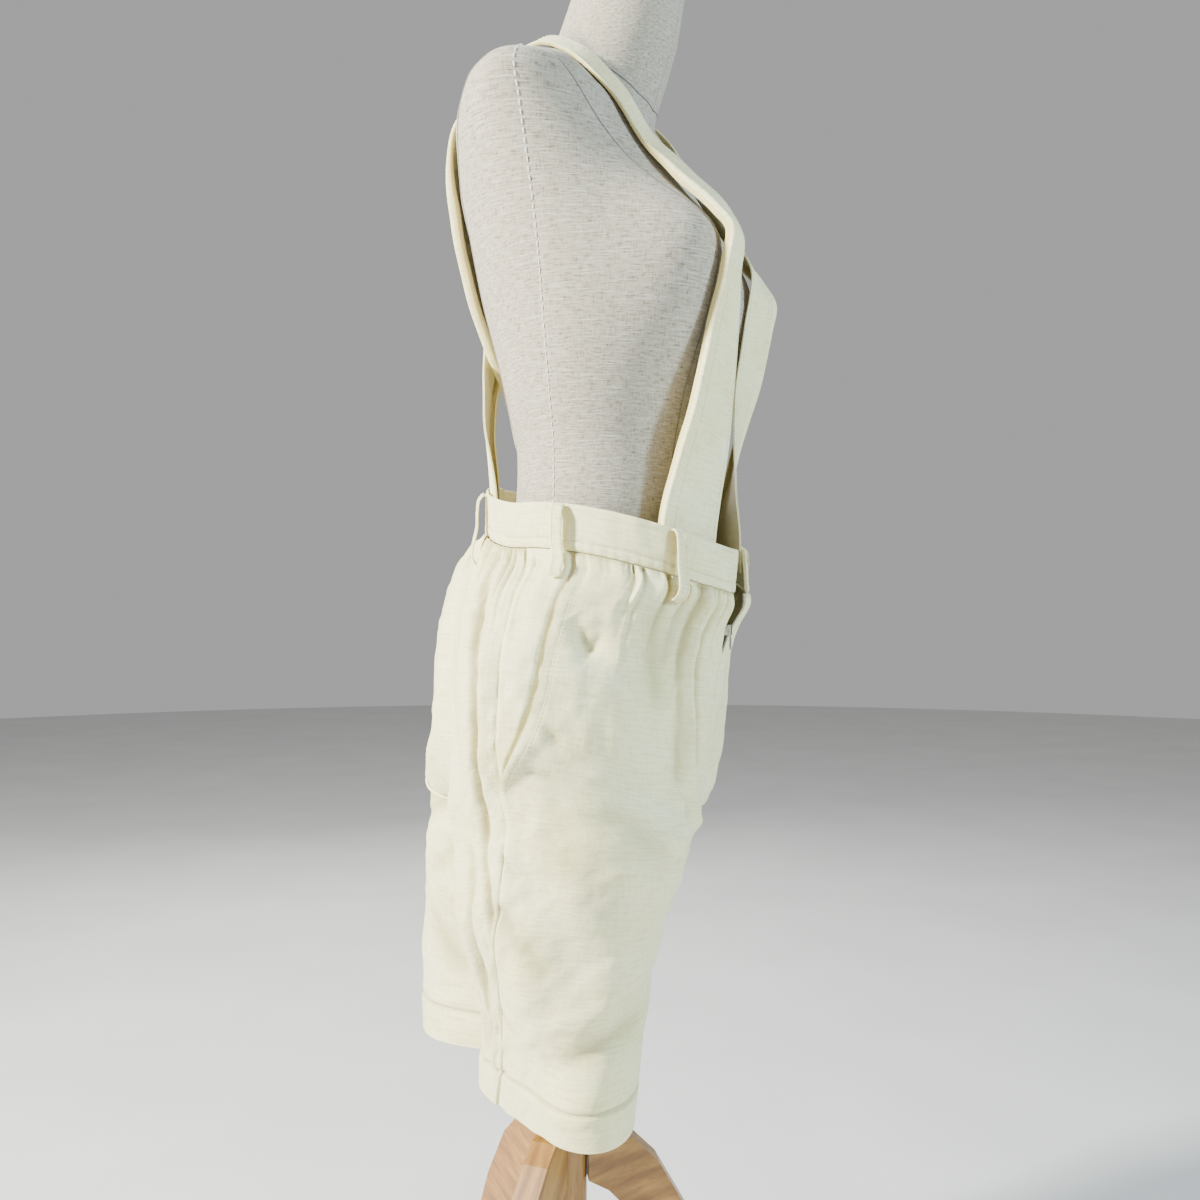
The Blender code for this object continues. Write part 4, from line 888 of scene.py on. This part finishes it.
def threads(name, lines, finish="thread", radius=0.00024, long=0.0026, gap=0.0009, sides=5):
    """Stitches along lines; a line is its points and the way out at each of them."""
    points, faces = [], []
    turn = np.linspace(0, 2 * np.pi, sides, endpoint=False)[:, None]
    for line, out in lines:
        along = lengths(line)
        for middle in np.arange(long * 0.7, along[-1] - long * 0.5, long + gap):
            run = unit(on(middle + long / 2, along, line) - on(middle - long / 2, along, line))
            way = on(middle, along, out)
            up = unit(way - run * (way @ run))
            round_it = np.cos(turn) * np.cross(run, up) + np.sin(turn) * up
            faces += ring_faces(len(STITCH), sides, len(points))
            for share, lift, thick in STITCH:
                centre = on(middle, along, line) + run * share * long + up * radius * lift
                points += list(centre + radius * thick * round_it)
    return piece(name, points, faces, finish, sharp=80)


def tube(line, radius, sides=8):
    """Rings of a round cord along a line."""
    run = unit(np.gradient(line, axis=0))
    up = unit(np.cross(run, np.array([0.31, 0.17, 0.93])))
    turn = np.linspace(0, 2 * np.pi, sides, endpoint=False)[None, :, None]
    return line[:, None] + radius * (np.cos(turn) * up[:, None] + np.sin(turn) * np.cross(run, up)[:, None])


# ---- the shorts ----
DOWNS = np.concatenate([np.linspace(0, 0.060, 41)[:-1], np.linspace(0.060, HEM_LINE - 0.006, 119),
                        HEM_LINE + np.linspace(-0.0045, 0.0045, 7),
                        np.linspace(HEM_LINE + 0.006, HEM_DOWN, 10)])
PANEL_FINE = 116


def fine_cloth(leg, rounds, down, lift=0.0):
    """A point of the finer cloth's outside, moved out by lift."""
    still = step(np.minimum(rounds, 1 - rounds) / 0.02)
    return cloth(leg, rounds, down, fine_height(leg, rounds, down) * still + lift)


def painted_fold_shade(leg, rounds, down):
    """How much painted shade the cloth gets: 0 on the open cloth and up to 1 in the gathers and creases, along
    the seam under the band and in the hem groove.
    """
    gathers = gather_height(rounds, down) + fine_gathers(leg, rounds, down)
    creases = crease_height(leg, rounds, down)
    return np.clip(np.clip(-gathers / 0.0030, 0, 0.8) + np.clip(-creases / 0.0060, 0, 0.8)
                   + 0.6 * bell(down - HEM_LINE, HEM_GROOVE) + 0.6 * bell(down, 0.0035), 0, 1)


def cloth_place(rounds, down, deep=0.0):
    """Where a point is on the flat cloth, for the weave, and the painted shade that it gets deep in a fold."""
    return np.stack([rounds * girth(down), down + 0 * rounds, deep + 0 * rounds], axis=-1)


def pocket_gape(down, across):
    """How far a pocket's mouth stands open, by the share of the way round from its edge."""
    return POCKET_GAPE * bell(down - 0.176, 0.026) * bell(across, 0.032)


def panel(leg, name, first, last, mouth=False):
    """A front or back panel from the centre seam to the pocket or side seam, gathered at the top."""
    share = np.linspace(0, 1, PANEL_FINE)
    share = share - 0.018 * np.sin(2 * np.pi * share)             # closer together at both edges
    start, end = first(DOWNS)[:, None], last(DOWNS)[:, None]
    rounds = start + (end - start) * share
    down = np.repeat(DOWNS[:, None], PANEL_FINE, axis=1)
    edge = (end - rounds) * girth(down)
    lift = tucked((rounds - start) * girth(down)) + tucked(edge)
    if mouth:
        free = 1 - step((down - POCKET_BOTTOM + 0.012) / 0.012)   # the folded edge of the pocket
        rolled = 0.0005 * bell(edge, 0.005) - 0.0006 * bell(edge - POCKET_STITCHED, 0.0011)
        lift += free * (rolled - tucked(edge)) + pocket_gape(down, rounds - end)
    outer = fine_cloth(leg, rounds, down, lift)
    thick = CLOTH + HEM_EXTRA * step((down - HEM_LINE) / 0.004)
    inner = outer - outward(leg, rounds, down) * thick[..., None]
    # the third number of each place is the painted shade of the folds, seam and hem groove
    return wall(name, outer, inner, cloth_place(rounds, down, painted_fold_shade(leg, rounds, down)))


def line_on(leg, rounds, down, lift=0.0):
    """Points along a line on the cloth and the way out of it there."""
    rounds, down = spread(rounds, down)
    return fine_cloth(leg, rounds, down, lift), outward(leg, rounds, down)


def pocket_side(leg):
    """The side piece that shows in the pocket's mouth and goes on under the front."""
    downs = np.append(DOWNS[DOWNS < POCKET_BOTTOM], POCKET_BOTTOM)
    edge = pocket_round(downs)[:, None]
    rounds = edge - POCKET_UNDERLAP + (SIDE_ROUND - edge + POCKET_UNDERLAP) * np.linspace(0, 1, 44)
    down = np.repeat(downs[:, None], 44, axis=1)
    sink = (1 - step((rounds - edge - 0.004) / 0.014)) * (CLOTH + 3 * LAYER_GAP)
    outer = fine_cloth(leg, rounds, down, tucked((SIDE_ROUND - rounds) * girth(down)) - sink)
    inner = outer - outward(leg, rounds, down) * CLOTH
    return wall(f"pocket_side_{leg}", outer, inner, cloth_place(rounds + 0.9, down))


# The band's section: how far out and how high, from its top edge over the outside to its lower
# edge and back up the inside. Shares of its thickness and height.
BAND_SECTION = numbers("""
-.5 1   -.22 .995   -.04 .975   .04 .93   .1 .84   .14 .7   .16 .56   .15 .43   .12 .33   .02 .25
-.26 .225   .06 .2   .12 .13   .06 .06   -.1 .015   -.5 0   -.9 .015   -1 .08   -1 .35   -1 .65   -1 .93
-.9 .985
""")


def waistband():
    """The band, softly padded between its edges, waved a little along the gathers."""
    half = np.linspace(0.004, 1.0, 200)[:, None]
    offs, highs = BAND_SECTION.T
    place, outside = half * HALF_BAND, offs > -0.3
    halves = []
    for leg, seed in (("right", 31), ("left", 33)):
        bulge = 0.0006 * waves(place, 0, 0.030, seed) * (highs * 2 - 1)
        bulge = bulge + 0.0004 * waves(place, highs * 0.03, 0.012, seed + 4) * outside
        pucker = 0.0003 * np.sin(2 * np.pi * half * 47) * bell(highs, 0.3) * outside
        nod = 0.0006 * waves(place, 0, 0.055, seed + 6)
        rings = band_point(leg, half, highs * BAND_HIGH + nod * highs, offs * BAND_THICK + bulge + pucker)
        at = np.stack(spread(place, 1.0 + highs * BAND_HIGH, 0), axis=-1)
        halves.append((rings, at if leg == "right" else at * [-1, 1, 1]))
    rings, at = (np.concatenate([right, left[::-1][1:]]) for right, left in zip(*halves))
    return swept("waistband", rings, "suiting", at, sharp=70)


# A belt loop from the band's top edge down: how high on the band, and how far off it.
LOOP_PATH = numbers("""
.037 .0004   .0375 .0034   .034 .0072   .022 .0096   .008 .0101   -.005 .0111   -.014 .01   -.021 .0079
-.024 .0048
""")
# Its section (across, out) in shares of its width and thickness; the last points are its inside.
LOOP_SECTION = numbers("""
-.5 .5   -.46 .86   -.36 1.04   -.27 .9   0 1.06   .27 .9   .36 1.04   .46 .86   .5 .5   .46 .14   .3 0
0 0   -.3 0   -.46 .14
""")
LOOP_INSIDE = 8                # the first of those points
LOOP_FINE = 64
# The welt's section: how far down, and how far out.
WELT_SECTION = numbers("""
-.0026 .0002   -.0025 .0012   -.0018 .0019   -.0008 .0016   0 .0009   .0008 .0016   .0018 .0019
.0025 .0012   .0026 .0002
""")


def belt_loop(leg, place, rounds):
    """A folded strip, its edges rounded and stitched, tacked at the band's top edge."""
    ends = rounds + LOOP_WIDE / 2 / HALF_BAND * np.array([-1, 0, 1])
    knots = []
    for high, off in LOOP_PATH:
        if high > 0:
            knots.append(band_point(leg, ends, high, off))
        else:
            down = np.full(3, -high)
            gathers = gather_height(ends, down)
            knots.append(cloth(leg, ends, down, off - 0.0008 - gathers.min())
                         - outward(leg, ends, down) * gathers[:, None])
    knots = np.array(knots)
    along = lengths(knots[:, 1])
    fine, flat = np.linspace(0, along[-1], LOOP_FINE), knots.reshape(-1, 9)
    path = hermite(along, flat, np.gradient(flat, along, axis=0), fine).reshape(-1, 3, 3)
    across = unit(path[:, 2] - path[:, 0])
    run = unit(np.gradient(path[:, 1], axis=0))
    away = -unit(np.cross(across, run)) * LEGS[leg][0]
    path = path - away[:, None] * LOOP_THICK
    centre = path[:, 1]
    rings = (centre[:, None] + across[:, None] * LOOP_SECTION[None, :, :1] * LOOP_WIDE
             + away[:, None] * LOOP_SECTION[None, :, 1:] * LOOP_THICK)
    at = np.stack(spread(LOOP_SECTION[:, 0] * LOOP_WIDE, fine[:, None], 0), axis=-1)
    made = swept(f"belt_loop_{place}_{leg}", rings, "suiting", at, sharp=75)
    made.data.materials.append(MATERIALS["painted_shade_suiting"])
    sides = len(LOOP_SECTION)
    for index in range((LOOP_FINE - 1) * sides):                  # painted shade: the inside gets the darker, yellower copy of the suiting
        made.data.polygons[index].material_index = int(index % sides >= LOOP_INSIDE)
    inner = slice(2, -2)
    lines = [(centre[inner] + across[inner] * side * LOOP_WIDE * 0.315 + away[inner] * LOOP_THICK * 0.98,
              away[inner]) for side in (-1, 1)]
    tack, shares = [], np.linspace(0.12, 0.88, 6)
    for k in range(-3, 4):                                        # the bar tack, to and fro
        for share in shares if k % 2 else shares[::-1]:
            tack.append(path[4, 0] * (1 - share) + path[4, 2] * share + run[4] * 0.0006 * k
                        + away[4] * LOOP_THICK * 1.05)
    lines.append((np.array(tack), np.repeat(away[4:5], len(tack), axis=0)))
    return made, lines


def back_welt():
    """The narrow welt low on the left back, its lips rounded."""
    share = np.linspace(0, 1, 70)[:, None]
    rounds, down = 0.970 - 0.215 * share, 0.228 - 0.050 * share
    across, lift = WELT_SECTION.T
    rings = cloth("left", rounds, down + across, lift + 0.0006)
    return swept("back_welt_left", rings, "suiting", np.stack(spread(share * 0.1, across + 2.0, 0), axis=-1))


def zip_tape(leg):
    """A woven tape behind the fly's edge, its teeth along the edge that shows."""
    side = LEGS[leg][0]
    downs = np.linspace(0.0005, 0.112, 60)
    across = np.array([0.0, 0.0010, 0.0022, 0.0036, 0.0060, 0.0090, 0.0118])
    rounds, down = spread(SEAM_GAP + across / HALF_BAND, downs[:, None])
    normal = outward(leg, rounds, down)
    outer = fine_cloth(leg, rounds, down) - normal * (CLOTH + LAYER_GAP)
    opened = np.clip(1 - downs / FLY_DOWN, 0, 1) ** 0.6
    outer[:, 0, 0] -= side * TAPE_SHOWS * opened
    outer[:, 1, 0] -= side * TAPE_SHOWS * 0.5 * opened
    at = np.stack(spread(across, down, 0), axis=-1)
    made = wall(f"zip_tape_{leg}", outer, outer - normal * TAPE_THICK, at, "tape")
    points, faces = [], []
    edge, out = outer[:, 0], normal[:, 0]
    along = lengths(edge)
    for s in np.arange(0.0015, np.interp(FLY_DOWN - 0.004, downs, along), TEETH_APART):
        s += TEETH_APART / 2 * (leg == "left")
        here, up = on(s, along, edge), unit(on(s, along, out))
        run = unit(on(s + 0.001, along, edge) - here)
        away = np.cross(run, up)
        away = away if away[0] * side < 0 else -away
        faces += ring_faces(2, 4, len(points))
        for u, taper in ((-0.0010, 1.0), (0.0013, 0.72)):
            for a, b in ((-1, -1), (1, -1), (1, 1), (-1, 1)):
                points.append(here + away * u + run * a * 0.00052 * taper + up * (b * 0.00085 * taper - 0.0002))
    piece(f"zip_teeth_{leg}", points, faces, "metal", sharp=30)
    return made


# ---- the suspenders ----
STRAP_FINE = 300
STRAP_LIP = 27                 # the columns after this one are turned in


def strap_profile(width, roll):
    """Half of a suspender's section: (across, out) from the inner edge to the turned-in lip."""
    flat = max(width - 2 * roll - 0.001, 0.004)
    share = np.linspace(0, 1, 15)
    face = np.stack([flat * share, -0.0006 * bell(share * flat, 0.002) - 0.0012 * share**6], axis=1)
    turn = np.radians(np.linspace(125, -105, 25))
    bent = [np.sign(wave) * np.abs(wave) ** 0.52 for wave in (np.cos(turn), np.sin(turn))]
    return np.concatenate([face, np.stack([width - roll + roll * bent[0], roll * (bent[1] - 0.67)], axis=1)])


def eased(values, wide):
    """Values along a line, each smoothed over its neighbours."""
    return np.convolve(np.pad(values, wide, mode="edge"), np.hanning(2 * wide + 1) / wide, mode="valid")


def strap(leg, rows):
    """A suspender from the front of the band over the shoulder to the other side's back."""
    other = "left" if leg == "right" else "right"

    def held(half, edges, high):
        return np.concatenate([band_point(half, edge, high, -BAND_THICK - STRAP_SINK) for edge in edges])

    front, back = STRAP_FRONT_ROUND[leg], STRAP_BACK_ROUND[other][::-1]
    stations = np.array([*(held(leg, front, high) for high in (0.016, 0.036)),
                         *([*row.values()] for row in rows),
                         *(held(other, back, high) for high in (0.036, 0.016))])
    along = lengths((stations[:, :3] + stations[:, 3:]) / 2)
    fine = np.linspace(0, along[-1], STRAP_FINE)
    lines = hermite(along, stations, np.gradient(stations, along, axis=0), fine)
    middle = (lines[:, :3] + lines[:, 3:]) / 2
    across = unit(lines[:, :3] - lines[:, 3:])
    out = unit(np.cross(across, unit(np.gradient(middle, axis=0)))) * LEGS[leg][0]
    outer, inner, at = [], [], []
    seed = 41 if leg == "right" else 47
    for k in range(STRAP_FINE):
        roll = STRAP_ROLL * (1 - 0.60 * step((middle[k, 2] - 1.25) / 0.06))
        profile = strap_profile(np.linalg.norm(lines[k, :3] - lines[k, 3:]), roll)
        slack = (0.0008 * waves(fine[k], profile[:, 0] * 0.7, 0.040, seed)
                 * np.minimum(1, min(k, STRAP_FINE - 1 - k) / 20))
        bent = unit(np.gradient(profile, axis=0))
        shape = profile + np.stack([0 * slack, slack], axis=1)
        thin = shape + np.stack([bent[:, 1], -bent[:, 0]], axis=1) * 0.0014
        for made, form in ((outer, shape), (inner, thin)):
            made.append(lines[k, 3:] + across[k] * form[:, :1] + out[k] * form[:, 1:])
        at.append(np.stack(spread(profile[:, 0] - profile[:, 1], fine[k] + 3.0, 0), axis=1))
    outer, inner = np.array(outer), np.array(inner)

    above = over_form(inner).min(axis=1)
    above = np.array([above[max(k - 3, 0):k + 4].min() for k in range(STRAP_FINE)])
    drop = eased(step((middle[:, 2] - 1.27) / 0.04) * (above - 1.6 * STRAP_LIFT), 7)
    for rings in (outer, inner):
        rings[..., 2] -= drop[:, None]         # the rows on the shoulder are laid down on it
    need = np.maximum(0.0, STRAP_LIFT - form_reach(inner)[0].min(axis=1))
    need = eased(np.array([need[max(k - 6, 0):k + 7].max() for k in range(STRAP_FINE)]), 9)
    shift = (unit(form_reach(middle)[1]) * need[:, None] * 1.1)[:, None]
    outer, inner = outer + shift, inner + shift
    made = wall(f"strap_{leg}", outer, inner, np.array(at), sharp=75)
    made.data.materials.append(MATERIALS["painted_shade_suiting"])      # painted shade: the turned-in side gets the darker, yellower copy of the suiting
    columns = outer.shape[1] - 1
    faces = (STRAP_FINE - 1) * columns
    for index in range(2 * faces):
        made.data.polygons[index].material_index = int(index >= faces or index % columns > STRAP_LIP)
    return made, [(outer[4:-4, column] + out[4:-4] * 0.0001, out[4:-4]) for column in (1, 13)]


# ---- the form ----
def full_radius(way, z):
    """The form's radius with its right side padded out to the suspender that lies on it."""
    radius = form_radius(way, z)
    return radius + swelling(PAD, radius * way[..., 0] + PAD["x"], way, z)


def form_point(turn, z, lift=0.0):
    """A place on the dress form, turn degrees round from its front, and the way out there."""
    turn, z = spread(np.radians(turn), z)
    way = np.stack([np.sin(turn), -np.cos(turn)], axis=-1)
    middle = np.stack([0 * z, form_axis(z)], axis=-1)
    points = np.concatenate([middle + way * full_radius(way, z)[..., None], z[..., None]], axis=-1)
    out = unit(form_reach(points)[1])
    return points + out * lift, out


def form_torso():
    """The torso and neck under one cover, its rims turned in softly at the neck and the foot."""
    columns = 220
    turn = np.linspace(0, 2 * np.pi, columns, endpoint=False)
    way = unit(np.stack([1.35 * np.sin(turn), -np.cos(turn)], axis=-1))
    levels = np.concatenate([np.linspace(FORM_BOTTOM, 1.28, 150)[:-1], np.linspace(1.28, 1.43, 90)[:-1],
                             np.linspace(1.43, FORM_TOP, 30)])
    rings, at = [], []
    rims = [(FORM_BOTTOM, -0.010), (FORM_BOTTOM, -0.0035), (FORM_BOTTOM + 0.001, -0.0010)]
    tops = [(FORM_TOP, draw) for draw in (-0.0012, -0.0045, -0.012)]
    for z, draw in rims + [(z, 0.0) for z in levels[1:-1]] + tops:
        level = np.full(columns, z)
        radius = full_radius(way, level) + draw
        rings.append(np.column_stack([way[:, 0] * radius, form_axis(level) + way[:, 1] * radius, level]))
        at.append(np.column_stack([np.unwrap(np.arctan2(way[:, 0], -way[:, 1])) * 0.15, level, 0 * level]))
    swept("form_torso", np.array(rings), "linen", np.array(at), sharp=60, label="form")


def form_seams():
    """Princess and neck seams as fine dark cords, the side seams as pale stitches."""
    cords, stitched = [], []
    for name, rows in SEAM_LINES.items():
        share = lengths(rows * [0.0026, 1])
        fine = np.linspace(0, share[-1], 150)
        ends_kept = (np.pad(a, 6, mode="reflect", reflect_type="odd") for a in on(fine, share, rows))
        turn, z = (np.convolve(a, np.full(13, 1 / 13), mode="valid") for a in ends_kept)
        for mirrored in (1, -1):
            line, out = form_point(turn * mirrored, z, 0.0001)
            if name == "side":
                stitched.append((line, out))
            else:
                cords.append(tube(line, 0.00055))
    around = np.linspace(-180, 180, 241)
    cords.append(tube(form_point(around, np.interp(np.abs(around), *NECK_SEAM.T), 0.0001)[0], 0.0006))
    points, faces = [], []
    for rings in cords:
        faces += ring_faces(*rings.shape[:2], len(points))
        points += rings.reshape(-1, 3).tolist()
    piece("form_seams", points, faces, "dark_thread")
    threads("form_side_stitches", stitched, "pale_thread", 0.00065, 0.0050, 0.0022)


def soften(name, material, wide, segments, sharp):
    """A node that keeps its solid gets a finish and softened edges."""
    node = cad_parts[name]
    node.data.materials.clear()
    node.data.materials.append(material)
    bevel = node.modifiers.new("soft edges", "BEVEL")
    bevel.width, bevel.segments, bevel.limit_method = wide, segments, "ANGLE"
    bevel.angle_limit = math.radians(sharp)


def stand():
    """The post and the legs, in oak that runs along their length."""
    turns = {"form_post": (0, math.radians(90), 0)}
    for name, degrees in (("back", 57), ("side", 177), ("front", 297)):
        turns[f"form_leg_{name}"] = (0, math.radians(50), math.radians(-degrees))
    for name, turn in turns.items():
        soften(name, oak(f"oak_{name}", turn), 0.0022, 3, 40)


# ---- camera, light and floor ----
CAMERA_FAR = 1.08              # from the post's axis to the camera
CAMERA_ASIDE = 0.0327
CAMERA_HIGH = 0.905
CAMERA_TURN = math.radians(-70)
CAMERA_LENS = 34.68


def camera():
    """The photo's view, level, from the figure's right and a little to its front."""
    look = np.array([-math.sin(CAMERA_TURN), math.cos(CAMERA_TURN), 0])
    right = np.array([look[1], -look[0], 0])
    made = linked("camera", bpy.data.cameras.new("camera"))
    made.data.lens, made.data.sensor_width, made.data.clip_start = CAMERA_LENS, 36, 0.01
    made.location = POST_AT - look * CAMERA_FAR + right * CAMERA_ASIDE + [0, 0, CAMERA_HIGH]
    made.rotation_euler = Vector(look).to_track_quat("-Z", "Y").to_euler()
    bpy.context.scene.camera = made


def area_light(name, place, aim, size, power, colour):
    made = linked(name, bpy.data.lights.new(name, "AREA"))
    made.data.shape, made.data.size, made.data.energy, made.data.color = "DISK", size, power, colour
    made.location = place
    made.rotation_euler = (Vector(aim) - Vector(place)).to_track_quat("-Z", "Y").to_euler()


def studio():
    """A pale room with three lamps and a plain floor."""
    world = bpy.data.worlds.new("studio")
    world.use_nodes = True
    back = world.node_tree.nodes["Background"]
    back.inputs["Color"].default_value = (1.0, 1.0, 1.0, 1)
    back.inputs["Strength"].default_value = WORLD
    bpy.context.scene.world = world
    for light in LIGHTS:
        area_light(*light)
    mesh = bpy.data.meshes.new("floor")
    work = bmesh.new()
    bmesh.ops.create_circle(work, cap_ends=True, segments=96, radius=9.0)
    work.to_mesh(mesh)
    work.free()
    s = Shader("floor", 0.8, 0.2)
    grain = s.noise(s.inside(), 3.0, 2.0)
    mesh.materials.append(s.finish(s.ramp(grain, (0.3, (0.58, 0.58, 0.57)), (0.7, (0.62, 0.62, 0.61)))))
    linked("floor", mesh)


WORLD = 0.42
LIGHTS = (                     # place, aim, size, power and colour
    ("key", (-2.0, 1.9, 2.3), (0.0, 0.0, 0.85), 0.4, 500.0, (1.0, 0.99, 0.93)),
    ("cool", (-0.3, -2.9, 1.9), (0.0, 0.0, 0.9), 0.6, 135.0, (0.62, 0.84, 1.0)),
    ("back", (2.4, 1.5, 2.2), (0.0, 0.0, 0.9), 1.2, 70.0, (1.0, 0.98, 0.95)),
)


# ---- the whole ----
camera()
sewn, cut = [], {}
for leg in LEGS:
    cut[f"front_{leg}"] = panel(leg, f"front_{leg}", lambda d: 0 * d + SEAM_GAP, pocket_round, mouth=True)
    cut[f"back_{leg}"] = panel(leg, f"back_{leg}", lambda d: 0 * d + 0.5 + SEAM_GAP,
                               lambda d: 0 * d + 1 - SEAM_GAP)
    cut[f"pocket_side_{leg}"] = pocket_side(leg)
    cut[f"zip_tape_{leg}"] = zip_tape(leg)
    sewn.append(line_on(leg, np.linspace(0.012, 0.988, 420), HEM_LINE + 0.0002, 0.0003))
    down, inward = np.linspace(0.003, POCKET_BOTTOM - 0.010, 90), POCKET_STITCHED / 0.41
    sewn.append(line_on(leg, pocket_round(down) - inward, down, 0.0002 + pocket_gape(down, 0.0183)))
cut["waistband"] = waistband()
around = np.linspace(0.012, 0.999, 240)
for share in (0.225, 0.90):
    for leg in LEGS:
        sewn.append((band_point(leg, around, share * BAND_HIGH, 0.0001), outward(leg, around, 0 * around)))
for leg, place, rounds in LOOPS:
    cut[f"belt_loop_{place}_{leg}"], lines = belt_loop(leg, place, rounds)
    sewn += lines
cut["back_welt_left"] = back_welt()
for leg, rows in (("right", RIGHT_STRAP), ("left", LEFT_STRAP)):
    cut[f"strap_{leg}"], lines = strap(leg, rows)
    sewn += lines
threads("stitches", sewn)
form_torso()
form_seams()
stand()
for name in ("zip_slider", "zip_pull", "waist_hook", "waist_bar"):
    soften(name, MATERIALS["metal"], 0.00025, 2, 30)
studio()

# What each cloth piece was cut to (metres, the part that shows), how it is held and by what.
CUTS = {
    "front": (0.34, 0.54, "gathered", "waistband"),
    "back": (0.42, 0.54, "gathered", "waistband"),
    "pocket_side": (0.08, 0.24, "hung", "waistband"),
    "zip_tape": (0.015, 0.118, "hung", "waistband"),
    "waistband": (0.84, 0.055, "stretched", "form_torso"),
    "belt_loop": (0.0145, 0.080, "folded", "waistband"),
    "back_welt": (0.12, 0.011, "folded", "back_left"),
    "strap": (0.085, 1.10, "folded", "form_torso"),
}
for name, made in cut.items():
    kind = max((kind for kind in CUTS if name.startswith(kind)), key=len)
    wide, long, held, under = CUTS[kind]
    area = sum(face.area for face in made.data.polygons) / 2
    area = min(max(area, 0.3 * wide * long), wide * long)
